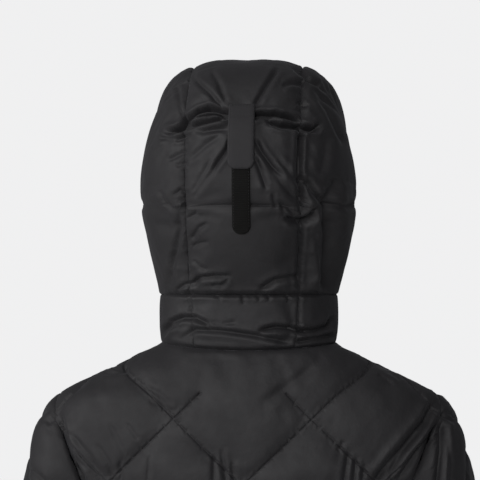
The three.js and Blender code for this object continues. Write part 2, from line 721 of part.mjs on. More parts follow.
function collarPiece(fromIndex, toIndex, both) {
  const outline = collarOutline(fromIndex, toIndex, both);
  return clothPiece({
    outline,
    pitch: [15, COLLAR_HEIGHT / 4],
    at: collarAt,
    raise: (u, w) => {
      const edge = edgeRise(edgeDistance(outline, u, w), 22);
      return PUFF_COLLAR * mound(w / COLLAR_HEIGHT) ** 0.6 * edge + 0.3;
    },
  });
}

// Hood: a middle panel over the head and two side panels

const hoodRows = steps(0, HOOD_LENGTH, 32);
function hoodMiddleOutline() {
  const bottom = neckAngles.slice(1, NECK_SEAM + 1).reverse().map((a) => -a)
    .concat(neckAngles.slice(0, NECK_SEAM + 1))
    .map((angle, i, all) => {
      const seam = i === 0 ? SEAM : i === all.length - 1 ? -SEAM : 0;
      const rim = collarTopRim(Math.abs(angle));
      return { u: hoodPoint(angle, 0).x + seam, w: SEAM, rim: angle < 0 ? mirrored(rim) : rim };
    });
  const right = hoodRows.slice(1).map((l) => ({ u: hoodSeam(l) - SEAM, w: l, rim: seamRim(l) }));
  const top = steps(1, -1, 8).slice(1).map((t) => ({ u: t * (hoodSeam(HOOD_LENGTH) - SEAM), w: HOOD_LENGTH }));
  top[top.length - 1].rim = mirrored(seamRim(HOOD_LENGTH));
  const left = hoodRows.slice(1, -1).reverse().map((l) => ({
    u: SEAM - hoodSeam(l),
    w: l,
    rim: mirrored(seamRim(l)),
  }));
  return bottom.concat(right, top, left);
}
function seamRim(l) {
  return between(hoodMiddleAt(hoodSeam(l) - 1, l).normal, hoodSideAt(1)(1, l).normal);
}
function hoodSideOutline() {
  const from = hoodAngleOf(hoodSeam(0), 0);
  const share = (angle) => ((angle - from) / (CHIN_ANGLE - from)) * HOOD_SIDE;
  const bottom = neckAngles.slice(NECK_SEAM, NECK_CHIN + 1).map((angle, i) => ({
    u: i === 0 ? SEAM : share(angle),
    w: SEAM,
    rim: collarTopRim(angle),
  }));
  const face = hoodRows.slice(1).map((l) => ({ u: HOOD_SIDE, w: l }));
  const top = steps(HOOD_SIDE, 0, 11).slice(1).map((u) => ({ u: Math.max(u, SEAM), w: HOOD_LENGTH }));
  top[top.length - 1].rim = seamRim(HOOD_LENGTH);
  const back = hoodRows.slice(1, -1).reverse().map((l) => ({ u: SEAM, w: l, rim: seamRim(l) }));
  return bottom.concat(face, top, back);
}
function centreRaise(u, w) {
  const k = CENTRE_QUILTING.findIndex((l) => w < l);
  const low = CENTRE_QUILTING[Math.max(0, k - 1)];
  const high = CENTRE_QUILTING[k < 0 ? CENTRE_QUILTING.length - 1 : k];
  const share = high > low ? (w - low) / (high - low) : 0;
  const across = edgeRise(Math.max(0, hoodSeam(w) - Math.abs(u)), 34);
  return PUFF_HOOD * crown(w) * mound(share) ** 0.5 * across + 0.3;
}
const hoodMiddleGeometry = clothPiece({
  outline: hoodMiddleOutline(),
  pitch: [11.5, 14.4],
  origin: [0, 0],
  at: hoodMiddleAt,
  raise: centreRaise,
});
const hoodSideLoop = hoodSideOutline();
const hoodSideGeometry = clothPiece({
  outline: hoodSideLoop,
  pitch: [HOOD_SIDE / 14, HOOD_LENGTH / 32],
  at: hoodSideAt(1),
  raise: (u, w) => {
    const { point } = hoodSideAt(1)(u, w);
    const rib = edgeRise(Math.abs(w - SIDE_QUILTING_L), 40);
    const level = w < SIDE_QUILTING_L ? edgeRise(Math.abs(point.z - SIDE_QUILTING_Z), 34) : 1;
    const edge = edgeRise(edgeDistance(hoodSideLoop, u, w), 30);
    return PUFF_HOOD * crown(w) * rib * level * edge + 0.3;
  },
});

// The tab and the fastening strip lie on the middle panel of the hood

function restingHeight(l) {
  let most = 0;
  for (let d = -16; d <= 16; d += 2) most = Math.max(most, centreRaise(0, l + d));
  return most;
}
function strap(from, to, halfWidth, gap, thick, roundEnd) {
  const rings = [];
  const count = Math.round((to - from) / 7);
  for (let i = 0; i <= count; i++) {
    const l = lerp(from, to, i / count);
    const fromEnd = Math.min(roundEnd, l - from);
    const chord = Math.sqrt(Math.max(0, roundEnd ** 2 - (roundEnd - fromEnd) ** 2));
    const half = roundEnd ? halfWidth - roundEnd + Math.max(chord, 0.35 * roundEnd) : halfWidth;
    const ring = [];
    const lift = restingHeight(l) + gap;
    for (const [x, up] of [[-1, 0], [0, 0], [1, 0], [1, 1], [0, 1], [-1, 1]]) {
      const { point, normal } = hoodMiddleAt(x * half, l);
      const v = point.addScaledVector(normal, lift + up * thick);
      v.flat = new THREE.Vector2(x * half, up * thick);
      ring.push(v);
    }
    rings.push(ring);
  }
  return loft(rings);
}
const stripGeometry = strap(STRIP_FROM, STRIP_TO, STRIP_HALF_WIDTH, 0.6, 1.6, 9);
const tabGeometry = strap(TAB_FROM, TAB_TO, TAB_HALF_WIDTH, 2.7, 2.4, 12);

// Zip

// The middle of the front: point and outward direction in the plane x = 0.
const frontLine = [];
for (const z of steps(HEM_Z + 4, NECK_FRONT_Z - 12, 30)) {
  const { point, normal } = bodyAt(0.01, z, -1);
  frontLine.push({ point, normal });
}
frontLine.push({
  point: neckAt(180),
  normal: between(frontLine[frontLine.length - 1].normal, collarAt(Math.PI * COLLAR_RADIUS - 1, 3).normal),
});
for (const w of steps(12, COLLAR_HEIGHT - 1, 4)) {
  const place = collarAt(Math.PI * COLLAR_RADIUS - 1, w);
  frontLine.push({ point: place.point, normal: place.normal });
}
for (const entry of frontLine) {
  entry.point.x = 0;
  entry.normal.setX(0).normalize();
}
function tape(side) {
  const profile = [
    [0.15, TAPE_TOP - TAPE_THICK],
    [TAPE_WIDTH, TAPE_TOP - TAPE_THICK - TAPE_LEAN],
    [TAPE_WIDTH, TAPE_TOP - TAPE_LEAN],
    [CHAIN_HALF, TAPE_TOP],
    [CHAIN_HALF, CHAIN_TOP],
    [0.15, CHAIN_TOP],
  ];
  return loft(frontLine.map(({ point, normal }) => profile.map(([x, n]) => {
    const v = point.clone().addScaledVector(normal, n).setX(side * x);
    v.flat = new THREE.Vector2(x, n);
    return v;
  })));
}

const wasm = await Module();
wasm.setup();
function solid(geometry) {
  const flat = geometry.index ? geometry.toNonIndexed() : geometry;
  const source = flat.getAttribute("position").array;
  const seen = new Map();
  const vertProperties = [];
  const triVerts = [];
  for (let i = 0; i < source.length; i += 3) {
    const key = [source[i], source[i + 1], source[i + 2]].map((v) => v.toFixed(4)).join();
    if (!seen.has(key)) {
      seen.set(key, seen.size);
      vertProperties.push(source[i], source[i + 1], source[i + 2]);
    }
    triVerts.push(seen.get(key));
  }
  return new wasm.Manifold(new wasm.Mesh({
    numProp: 3,
    vertProperties: new Float32Array(vertProperties),
    triVerts: new Uint32Array(triVerts),
  }));
}
function geometryOf(manifold) {
  const mesh = manifold.getMesh();
  const geometry = new THREE.BufferGeometry();
  const position = new Float32Array(mesh.numVert * 3);
  for (let i = 0; i < mesh.numVert; i++) {
    position.set(mesh.vertProperties.subarray(i * mesh.numProp, i * mesh.numProp + 3), i * 3);
  }
  geometry.setAttribute("position", new THREE.BufferAttribute(position, 3));
  geometry.setIndex(new THREE.BufferAttribute(mesh.triVerts, 1));
  return geometry;
}

// The slider in its own frame: x across, y up along the zip, z away from the cloth.
const SLIDER_HALF_WIDTH = 4.1;
const SLIDER_BOTTOM = -0.3;
const SLIDER_TOP = 2.3;
const BRIDGE_HALF = 1.2;
const BRIDGE_TOP = 5.9;
const PIN_HEIGHT = 3.6;
function sliderGeometry() {
  const plate = new THREE.Shape();
  plate.moveTo(-SLIDER_HALF_WIDTH + 1.4, -7);
  plate.lineTo(SLIDER_HALF_WIDTH - 1.4, -7);
  plate.lineTo(SLIDER_HALF_WIDTH - 0.6, -1);
  plate.lineTo(SLIDER_HALF_WIDTH, 4.5);
  plate.lineTo(SLIDER_HALF_WIDTH - 1.2, 6.5);
  plate.lineTo(-SLIDER_HALF_WIDTH + 1.2, 6.5);
  plate.lineTo(-SLIDER_HALF_WIDTH, 4.5);
  plate.lineTo(-SLIDER_HALF_WIDTH + 0.6, -1);
  plate.closePath();
  const body = new THREE.ExtrudeGeometry(plate, { depth: SLIDER_TOP - SLIDER_BOTTOM, bevelEnabled: false });
  body.translate(0, 0, SLIDER_BOTTOM);
  const arch = new THREE.Shape();
  arch.moveTo(-4, SLIDER_TOP - 0.6);
  arch.lineTo(4, SLIDER_TOP - 0.6);
  arch.lineTo(4, BRIDGE_TOP - 1.2);
  arch.lineTo(2.8, BRIDGE_TOP);
  arch.lineTo(-2.8, BRIDGE_TOP);
  arch.lineTo(-4, BRIDGE_TOP - 1.2);
  arch.closePath();
  const hole = new THREE.Path();
  hole.moveTo(-2.6, SLIDER_TOP + 0.1);
  hole.lineTo(-2.6, BRIDGE_TOP - 1.1);
  hole.lineTo(2.6, BRIDGE_TOP - 1.1);
  hole.lineTo(2.6, SLIDER_TOP + 0.1);
  hole.closePath();
  arch.holes.push(hole);
  const bridge = new THREE.ExtrudeGeometry(arch, { depth: 2 * BRIDGE_HALF, bevelEnabled: false });
  const turn = new THREE.Matrix4().makeBasis(
    new THREE.Vector3(0, 1, 0),
    new THREE.Vector3(0, 0, 1),
    new THREE.Vector3(1, 0, 0),
  );
  bridge.applyMatrix4(turn).translate(-BRIDGE_HALF, 0, 0);
  return geometryOf(solid(body).add(solid(bridge)));
}

// The pull hangs straight down from its pin, which is at its own origin.
const PULL_HALF_WIDTH = 3.2;
const PULL_LENGTH = 27;
const PULL_THICK = 1.2;
function pullGeometry() {
  const outer = new THREE.Shape();
  outer.moveTo(-2.6, 0.6);
  outer.lineTo(-3, -4);
  outer.lineTo(-PULL_HALF_WIDTH, -PULL_LENGTH + 3);
  outer.quadraticCurveTo(-PULL_HALF_WIDTH, -PULL_LENGTH, 0, -PULL_LENGTH);
  outer.quadraticCurveTo(PULL_HALF_WIDTH, -PULL_LENGTH, PULL_HALF_WIDTH, -PULL_LENGTH + 3);
  outer.lineTo(3, -4);
  outer.lineTo(2.6, 0.6);
  outer.closePath();
  const window = new THREE.Path();
  window.moveTo(-1.75, -0.6);
  window.lineTo(1.75, -0.6);
  window.lineTo(1.75, -6.6);
  window.lineTo(-1.75, -6.6);
  window.closePath();
  outer.holes.push(window);
  const geometry = new THREE.ExtrudeGeometry(outer, {
    depth: PULL_THICK,
    bevelEnabled: false,
    curveSegments: 4,
  });
  geometry.translate(0, 0, -PULL_THICK / 2);
  geometry.rotateX(Math.PI / 2);
  return geometry;
}

// The parka

const shell = new THREE.MeshStandardMaterial({ color: 0x232325, roughness: 0.62, metalness: 0 });
const tabCloth = new THREE.MeshStandardMaterial({ color: 0x303032, roughness: 0.85, metalness: 0 });
const fastening = new THREE.MeshStandardMaterial({ color: 0x141415, roughness: 0.95, metalness: 0 });
const tapeCloth = new THREE.MeshStandardMaterial({ color: 0x1b1b1c, roughness: 0.8, metalness: 0 });
const metal = new THREE.MeshStandardMaterial({ color: 0x2c2c2e, roughness: 0.4, metalness: 0.7 });

function named(name, geometry, material) {
  const mesh = new THREE.Mesh(geometry, material);
  mesh.name = name;
  return mesh;
}

// The mirror image of a geometry about the plane x = 0, with its faces turned back out.
function mirror(geometry) {
  const copy = geometry.clone();
  const position = copy.getAttribute("position");
  for (let i = 0; i < position.count; i++) position.setX(i, -position.getX(i));
  const index = Array.from(copy.index.array);
  for (let i = 0; i < index.length; i += 3) [index[i + 1], index[i + 2]] = [index[i + 2], index[i + 1]];
  copy.setIndex(index);
  copy.computeVertexNormals();
  return copy;
}

const parka = new THREE.Group();
const body = new THREE.Group();
body.add(named("back", backGeometry, shell));
body.add(named("front_left", frontGeometry, shell));
body.add(named("front_right", mirror(frontGeometry), shell));
body.add(named("sleeve_left", sleeveGeometry, shell));
body.add(named("sleeve_right", mirror(sleeveGeometry), shell));
parka.add(body);

const collar = new THREE.Group();
const collarSideGeometry = collarPiece(NECK_SEAM, neckAngles.length - 1, false);
collar.add(named("collar_back", collarPiece(0, NECK_SEAM, true), shell));
collar.add(named("collar_left", collarSideGeometry, shell));
collar.add(named("collar_right", mirror(collarSideGeometry), shell));
parka.add(collar);

const hood = new THREE.Group();
hood.add(named("hood_center", hoodMiddleGeometry, shell));
hood.add(named("hood_left", hoodSideGeometry, shell));
hood.add(named("hood_right", mirror(hoodSideGeometry), shell));
hood.add(named("hood_tab", tabGeometry, tabCloth));
hood.add(named("hood_tab_strip", stripGeometry, fastening));
parka.add(hood);

const zip = new THREE.Group();
zip.add(named("zip_tape_left", tape(1), tapeCloth));
zip.add(named("zip_tape_right", tape(-1), tapeCloth));
const sliderPlace = frontLine[frontLine.length - 2];
const sliderFrame = new THREE.Group();
sliderFrame.position.copy(sliderPlace.point);
const zipUp = new THREE.Vector3(1, 0, 0).cross(sliderPlace.normal).negate();
sliderFrame.quaternion.setFromRotationMatrix(
  new THREE.Matrix4().makeBasis(new THREE.Vector3(1, 0, 0), zipUp, sliderPlace.normal),
);
sliderFrame.add(named("zip_slider", sliderGeometry(), metal));
zip.add(sliderFrame);
const pull = named("zip_pull", pullGeometry(), metal);
pull.position.copy(sliderPlace.point).addScaledVector(sliderPlace.normal, PIN_HEIGHT);
zip.add(pull);
parka.add(zip);

export default parka;
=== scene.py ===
# %% [markdown]
# # A quilted parka, seen from behind
#
# This lesson dresses a plain model of a hooded winter parka. The plain model is the frame: one stiff
# solid for each cut piece of cloth. Each piece is cut here again from a flat pattern, sewn along its
# quilting, and filled by blowing it up with the Cloth modifier, as down fills the real chambers.
# All lengths in the tables are millimetres. The garment faces -Y, +Z is up, and its left side is at +X.

import math

import bmesh
import bpy
import numpy as np
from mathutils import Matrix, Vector
from mathutils.bvhtree import BVHTree
from mathutils.geometry import delaunay_2d_cdt
from mathutils.kdtree import KDTree


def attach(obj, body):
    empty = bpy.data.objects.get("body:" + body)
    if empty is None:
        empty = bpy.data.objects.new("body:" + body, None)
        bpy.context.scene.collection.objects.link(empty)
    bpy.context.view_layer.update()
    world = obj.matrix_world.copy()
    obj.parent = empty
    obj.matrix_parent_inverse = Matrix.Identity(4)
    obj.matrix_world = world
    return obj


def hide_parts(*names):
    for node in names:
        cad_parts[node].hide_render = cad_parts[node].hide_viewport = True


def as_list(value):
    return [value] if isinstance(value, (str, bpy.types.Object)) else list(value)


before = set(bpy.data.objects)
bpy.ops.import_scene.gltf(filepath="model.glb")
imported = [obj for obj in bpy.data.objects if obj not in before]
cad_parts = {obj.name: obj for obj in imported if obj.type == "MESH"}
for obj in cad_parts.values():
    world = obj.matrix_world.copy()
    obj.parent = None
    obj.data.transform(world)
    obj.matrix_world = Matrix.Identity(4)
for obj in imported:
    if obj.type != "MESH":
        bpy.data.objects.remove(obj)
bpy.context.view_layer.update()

# %% [markdown]
# ## The camera
#
# The camera stands three metres behind the garment, level with the back of the head, a few degrees to
# the side. A long lens keeps the proportions flat, as in a catalogue picture. The picture is square.

# %% Camera
CAMERA_DISTANCE = 3000
CAMERA_TURN = math.radians(4)
VIEW_HEIGHT = 124
VIEW_SIDE = 10.6
VIEW_WIDTH = 566

camera_place = np.array([
    -CAMERA_DISTANCE * math.sin(CAMERA_TURN),
    CAMERA_DISTANCE * math.cos(CAMERA_TURN),
    VIEW_HEIGHT,
])
camera_target = np.array([VIEW_SIDE, 0, VIEW_HEIGHT])
camera_data = bpy.data.cameras.new("catalogue_camera")
camera_data.sensor_width = 36
camera_data.lens = 36 * CAMERA_DISTANCE / VIEW_WIDTH
camera = bpy.data.objects.new("catalogue_camera", camera_data)
bpy.context.scene.collection.objects.link(camera)
look = Vector(camera_target - camera_place)
camera.location = Vector(camera_place) / 1000
camera.rotation_euler = look.to_track_quat("-Z", "Y").to_euler()
bpy.context.scene.camera = camera
print("lens", round(camera_data.lens, 1))


# %% [markdown]
# Folds are easiest to place as the eye sees them. `seen` gives the place of a point in the picture, in
# millimetres to the right of and above the middle of the neck, at the garment's own distance.

# %% Seen from behind
view_forward = np.array(look.normalized())
view_right = np.cross(view_forward, [0, 0, 1])
view_right /= np.linalg.norm(view_right)


def seen(points):
    away = points - camera_place
    depth = away @ view_forward
    right = (away @ view_right) / depth * CAMERA_DISTANCE
    up = away[:, 2] / depth * CAMERA_DISTANCE + VIEW_HEIGHT
    return np.stack([right - VIEW_SIDE, up], axis=1)


print("neck is seen at", seen(np.array([[0.0, 0.0, 0.0]])).round(1))

# %% [markdown]
# ## Sizes
#
# A garment is drawn from a few measurements. The tables give the body, the arm and the hood as
# sections: how wide each is, how deep, and where it stands. They follow the frame, so that the cloth
# lies on the solids that it stands for.

# %% Tables
BODY_POWER = 2.4
HEM = -860

BODY = [
    {"z": 10, "half": 98, "back": 78, "front": 40},
    {"z": 4, "half": 102, "back": 79, "front": 43},
    {"z": -3, "half": 110, "back": 80, "front": 46},
    {"z": -10, "half": 124, "back": 82, "front": 49},
    {"z": -28, "half": 162, "back": 88, "front": 57},
    {"z": -44, "half": 195, "back": 93, "front": 64},
    {"z": -57, "half": 221, "back": 97, "front": 71},
    {"z": -72, "half": 235, "back": 100, "front": 77},
    {"z": -88, "half": 243, "back": 103, "front": 84},
    {"z": -118, "half": 246, "back": 106, "front": 99},
    {"z": -148, "half": 236, "back": 108, "front": 111},
    {"z": -200, "half": 202, "back": 107, "front": 121},
    {"z": -245, "half": 176, "back": 106, "front": 126},
    {"z": -300, "half": 171, "back": 104, "front": 128},
    {"z": -430, "half": 170, "back": 104, "front": 128},
    {"z": -600, "half": 184, "back": 122, "front": 136},
    {"z": -860, "half": 206, "back": 146, "front": 148},
]
ARM = [
    {"w": 0, "x": 226, "y": -2, "z": -246, "half": 48, "deep": 77},
    {"w": 90, "x": 246, "y": -3, "z": -334, "half": 48, "deep": 70},
    {"w": 180, "x": 268, "y": -6, "z": -421, "half": 49, "deep": 64},
    {"w": 280, "x": 292, "y": -18, "z": -517, "half": 48, "deep": 60},
    {"w": 380, "x": 314, "y": -34, "z": -613, "half": 46, "deep": 56},
    {"w": 430, "x": 325, "y": -43, "z": -661, "half": 44, "deep": 53},
]
HOOD_COLUMNS = ("l", "by", "bz", "my", "mz", "half", "front", "end", "square")
HOOD = [dict(zip(HOOD_COLUMNS, row)) for row in (
    (0, 82, 61, 0, 60, 103, 92, 150, 2.3),
    (42, 97, 100, 0, 90, 103.5, 102.6, 140.6, 2.3),
    (95, 115, 150, 0, 128, 110, 117.5, 132.8, 2.3),
    (135.5, 122, 190, 0, 156, 116.5, 126.6, 128.6, 2.3),
    (186, 118, 240, -5, 183, 117.5, 139.7, 122.8, 2.3),
    (235, 98, 285, -15, 203, 114, 172, 114.5, 2.5),
    (285, 60, 319, -32, 218, 110, 215, 106.5, 2.9),
    (337, 10, 332, -52, 228, 107, 247, 101.8, 3.2),
    (392, -45, 322, -72, 234, 107, 262, 98.4, 3.2),
    (461, -105, 288, -96, 232, 104, 262, 96, 3),
)]
HOOD_SEAM = [
    {"l": 0, "x": 63},
    {"l": 95, "x": 64.5},
    {"l": 186, "x": 65.5},
    {"l": 337, "x": 64},
    {"l": 461, "x": 58},
]
print(len(BODY), "sections of the body,", len(ARM), "of the arm and", len(HOOD), "ribs of the hood")

# %% [markdown]
# The curve between the rows must not swing past them, or a shoulder would show a dent. Its slope in each
# row is the harmonic mean of the slopes on both sides, which keeps it between them. A spline through the
# same rows would be smoother still, but it does swing past.

# %% Smooth curves
def curve(rows, start, end):
    """A smooth curve through two columns that never overshoots its rows."""
    table = np.array(sorted((row[start], row[end]) for row in rows), float)
    at, value = table.T
    secant = np.diff(value) / np.diff(at)
    product = secant[:-1] * secant[1:]
    total = np.where(product > 0, secant[:-1] + secant[1:], 1)
    middle = np.where(product > 0, 2 * product / total, 0)
    slope = np.concatenate(([secant[0]], middle, [secant[-1]]))

    def read(place):
        place = np.asarray(place, float)
        i = np.clip(np.searchsorted(at, place, side="right") - 1, 0, len(at) - 2)
        span = at[i + 1] - at[i]
        raw = (place - at[i]) / span
        t = np.clip(raw, 0, 1)
        rise = value[i + 1] - value[i]
        bend = slope[i] * span * t * (1 - t) ** 2 - slope[i + 1] * span * t * t * (1 - t)
        inner = value[i] + rise * t * t * (3 - 2 * t) + bend
        before = value[0] + slope[0] * (place - at[0])
        after = value[-1] + slope[-1] * (place - at[-1])
        return np.where(place < at[0], before, np.where(place > at[-1], after, inner))

    return read


def smoothstep(value):
    t = np.clip(value, 0, 1)
    return t * t * (3 - 2 * t)


body_half = curve(BODY, "z", "half")
body_back = curve(BODY, "z", "back")
body_front = curve(BODY, "z", "front")
print("half chest", float(body_half(-245)), "mm")

# %% [markdown]
# ## The body as a surface
#
# A pattern is flat, so its points are given by the distance `u` round the body from the centre back or
# the centre front, and by the height. A section is a squared oval, and its length is measured in small
# steps, which lets a flat width be laid round it without stretching.

# %% Body surface
SECTION_STEPS = 60
section_angle = np.linspace(0, math.pi / 2, SECTION_STEPS + 1)
section_x = np.sin(section_angle) ** (2 / BODY_POWER)
section_y = np.cos(section_angle) ** (2 / BODY_POWER)
section_y[-1] = 0


def body_depth(z, side):
    return body_back(z) if side > 0 else body_front(z)


def section_of(z, side):
    x = body_half(z)[:, None] * section_x
    y = side * body_depth(z, side)[:, None] * section_y
    piece = np.hypot(np.diff(x, axis=1), np.diff(y, axis=1))
    arc = np.concatenate([np.zeros((len(x), 1)), np.cumsum(piece, axis=1)], axis=1)
    return x, y, arc


def body_place(u, z, side):
    x, y, arc = section_of(z, side)
    want = np.minimum(np.abs(u), arc[:, -1] - 1e-9)
    k = np.clip((arc <= want[:, None]).sum(axis=1), 1, SECTION_STEPS)
    row = np.arange(len(k))
    t = (want - arc[row, k - 1]) / (arc[row, k] - arc[row, k - 1])
    px = x[row, k - 1] + (x[row, k] - x[row, k - 1]) * t
    py = y[row, k - 1] + (y[row, k] - y[row, k - 1]) * t
    return np.stack([np.sign(u) * px, py, z], axis=1)


def girth(z, side):
    return section_of(np.atleast_1d(np.asarray(z, float)), side)[2][:, -1]


def round_of(points, side):
    """The distance round the body of points that lie on it."""
    x, y, arc = section_of(points[:, 2], side)
    sine = (np.abs(points[:, 0]) / body_half(points[:, 2])) ** (BODY_POWER / 2)
    cosine = (np.abs(points[:, 1]) / body_depth(points[:, 2], side)) ** (BODY_POWER / 2)
    place = np.arctan2(sine, cosine) / (math.pi / 2) * SECTION_STEPS
    k = np.clip(np.floor(place).astype(int), 0, SECTION_STEPS - 1)
    row = np.arange(len(k))
    return arc[row, k] + (arc[row, k + 1] - arc[row, k]) * (place - k)


print("chest girth", round(2 * float(girth(-245, 1)[0] + girth(-245, -1)[0])), "mm")

# %% [markdown]
# The neck ring and the armholes are curves on that surface. Cloth on both sides of a seam is cut to
# the same curve, so each of them is one function that several pieces share.

# %% Neck and armholes
NECK_HALF = 102
NECK_BACK = -3
NECK_SIDE = 4
NECK_FRONT = -65
ARM_TOP = -57
ARM_LOW = -245
ARM_BACK = 72
ARM_FRONT = 80


def on_body(x, z, side):
    ratio = np.minimum(1, (np.abs(x) / body_half(z)) ** BODY_POWER)
    return np.stack([x, side * body_depth(z, side) * (1 - ratio) ** (1 / BODY_POWER), z], axis=1)


def neck_ring(angle):
    """0 degrees is the centre back, 90 the side and 180 the centre front."""
    angle = np.asarray(angle, float)
    x = NECK_HALF * np.sin(np.radians(angle))
    share = np.abs(x) / NECK_HALF
    behind = on_body(x, NECK_BACK + (NECK_SIDE - NECK_BACK) * share ** 2, 1)
    before = on_body(x, NECK_FRONT + (NECK_SIDE - NECK_FRONT) * share ** 1.6, -1)
    return np.where((np.abs(angle) <= 90)[:, None], behind, before)


def armhole(angle):
    """90 degrees is the shoulder, 0 behind, -90 the armpit and 180 in front."""
    turn = np.radians(np.asarray(angle, float))
    z = (ARM_TOP + ARM_LOW) / 2 + (ARM_TOP - ARM_LOW) / 2 * np.sin(turn)
    across = np.cos(turn)
    y = across * np.where(across > 0, ARM_BACK, ARM_FRONT)
    deep = np.where(y >= 0, body_back(z), body_front(z))
    x = body_half(z) * (1 - (np.abs(y) / deep) ** BODY_POWER) ** (1 / BODY_POWER)
    return np.stack([x, y, z], axis=1)


print("shoulder to shoulder", round(2 * float(armhole([90])[0, 0])), "mm")

# %% [markdown]
# ## The hood as a surface
#
# A hood is a fan of ribs. The lowest rib is the seam to the collar, the last one the rim over the
# forehead, and all of them come together at the sides of the face. `l` is the distance along the
# middle of the hood, from the nape over the head.

# %% Hood and collar surfaces
COLLAR_DIP = 41
COLLAR_HEIGHT = 62
COLLAR_RADIUS = 90
DIP_ENDS = 115
DIP_FIRST_ANGLE = 100
DIP_LAST_ANGLE = 180
HOOD_LENGTH = 461
HOOD_SIDE_WIDTH = 190
FACE_POWER = 2.3

hood = {key: curve(HOOD, "l", key) for key in ("by", "bz", "my", "mz", "half", "front", "end", "square")}
hood_seam = curve(HOOD_SEAM, "l", "x")


def hood_place(angle, l):
    angle, l = np.broadcast_arrays(np.asarray(angle, float), np.asarray(l, float))
    size = {key: read(l) for key, read in hood.items()}
    back_y = size["by"] - size["my"]
    back_z = size["bz"] - size["mz"]
    depth = np.hypot(back_y, back_z)
    turn = np.radians(np.abs(angle))
    cosine = np.cos(turn)
    power = np.where(cosine > 0, size["square"], FACE_POWER)
    reach = np.sign(cosine) * np.abs(cosine) ** (2 / power)
    along = reach * np.where(cosine > 0, depth, size["front"])
    x = np.sign(angle) * size["half"] * np.abs(np.sin(turn)) ** (2 / power)
    low = np.clip(1 - l / DIP_ENDS, 0, 1)
    ahead = smoothstep((np.abs(angle) - DIP_FIRST_ANGLE) / (DIP_LAST_ANGLE - DIP_FIRST_ANGLE))
    dip = COLLAR_DIP * low ** 2 * ahead
    y = size["my"] + back_y / depth * along
    z = size["mz"] + back_z / depth * along - dip
    return np.stack([x, y, z], axis=1)


def hood_angle(x, l):
    ratio = np.minimum(1, np.abs(x) / hood["half"](l))
    return np.sign(x) * np.degrees(np.arcsin(ratio ** (hood["square"](l) / 2)))


def collar_place(u, w):
    angle = np.degrees(u / COLLAR_RADIUS)
    low = neck_ring(angle)
    high = hood_place(angle, np.zeros_like(angle))
    return low + (high - low) * (w / COLLAR_HEIGHT)[:, None]


def hood_middle_place(u, l):
    return hood_place(hood_angle(u, l), l)


def hood_side_place(u, l):
    first = np.abs(hood_angle(hood_seam(l), l))
    return hood_place(first + (hood["end"](l) - first) * u / HOOD_SIDE_WIDTH, l)


print("hood is", round(2 * float(hood["half"](186))), "mm wide")

# %% [markdown]
# ## The sleeve as a surface
#
# A sleeve is a tube of oval rings down the arm. Above the armpit its cap closes the distance to the
# armhole, so there the surface runs along a curve from the first ring up to the armhole.

# %% Sleeve surface
arm = {key: curve(ARM, "w", key) for key in ("x", "y", "z", "half", "deep")}
ARM_LENGTH = ARM[-1]["w"]
CAP_STEPS = 32
CAP_EASE = 1.04
CAP_PULL_LOW = 0.4
CAP_PULL_HIGH = 0.19
CAP_OUT = 0.93
CAP_DOWN = 0.62


def sleeve_ring(angle, w):
    angle, w = np.broadcast_arrays(np.asarray(angle, float), np.asarray(w, float))
    middle = np.stack([arm["x"](w), arm["y"](w), arm["z"](w)], axis=1)
    ahead = np.stack([arm["x"](w + 2), arm["y"](w + 2), arm["z"](w + 2)], axis=1)
    behind = np.stack([arm["x"](w - 2), arm["y"](w - 2), arm["z"](w - 2)], axis=1)
    down = ahead - behind
    down /= np.linalg.norm(down, axis=1)[:, None]
    back = np.array([0, 1, 0]) - down * down[:, 1:2]
    back /= np.linalg.norm(back, axis=1)[:, None]
    out = np.cross(back, down)
    out *= np.sign(out[:, :1])
    turn = np.radians(angle)
    place = middle + out * (arm["half"](w) * np.sin(turn))[:, None]
    return place + back * (arm["deep"](w) * np.cos(turn))[:, None], down


ring_angles = -90 + 360 * np.arange(CAP_STEPS + 1) / CAP_STEPS
ring_points = sleeve_ring(ring_angles, np.zeros(CAP_STEPS + 1))[0]
ring_round = np.concatenate([[0], np.cumsum(np.linalg.norm(np.diff(ring_points, axis=0), axis=1))])
SLEEVE_ROUND = ring_round[-1]


def cap_height(angle):
    ring = sleeve_ring(angle, 0 * np.asarray(angle, float))[0]
    return np.linalg.norm(ring - armhole(angle), axis=1) * CAP_EASE


def sleeve_place(v, w):
    """w is positive down the arm from the armpit and negative in the cap."""
    angle = np.interp(np.mod(v, SLEEVE_ROUND), ring_round, ring_angles)
    angle = np.where(v >= SLEEVE_ROUND - 1e-6, -90.0, angle)
    tube, _ = sleeve_ring(angle, np.maximum(w, 0))
    low, down = sleeve_ring(angle, np.zeros_like(angle))
    high = armhole(angle)
    length = np.linalg.norm(high - low, axis=1)[:, None]
    t = np.clip(-w / cap_height(angle), 0, 1)[:, None]
    shoulder = smoothstep((np.sin(np.radians(angle)) + 1) / 2)
    away = np.stack([np.full_like(shoulder, CAP_OUT), np.zeros_like(shoulder), -CAP_DOWN * shoulder], axis=1)
    away /= np.linalg.norm(away, axis=1)[:, None]
    first = low - down * CAP_PULL_LOW * length
    second = high + away * CAP_PULL_HIGH * length
    cap = low * (1 - t) ** 3 + 3 * first * t * (1 - t) ** 2 + 3 * second * t * t * (1 - t) + high * t ** 3
    return np.where((w >= 0)[:, None], tube, cap)


print("sleeve round", round(float(SLEEVE_ROUND)), "mm at the armpit")

# %% [markdown]
# ## Cutting a piece
#
# Each piece starts flat, as an outline and the quilting lines on it. Both are plain lines, and four
# questions are asked of them: where are even steps along a line, how far is a point from it, is a point
# inside it, and which points have it near.

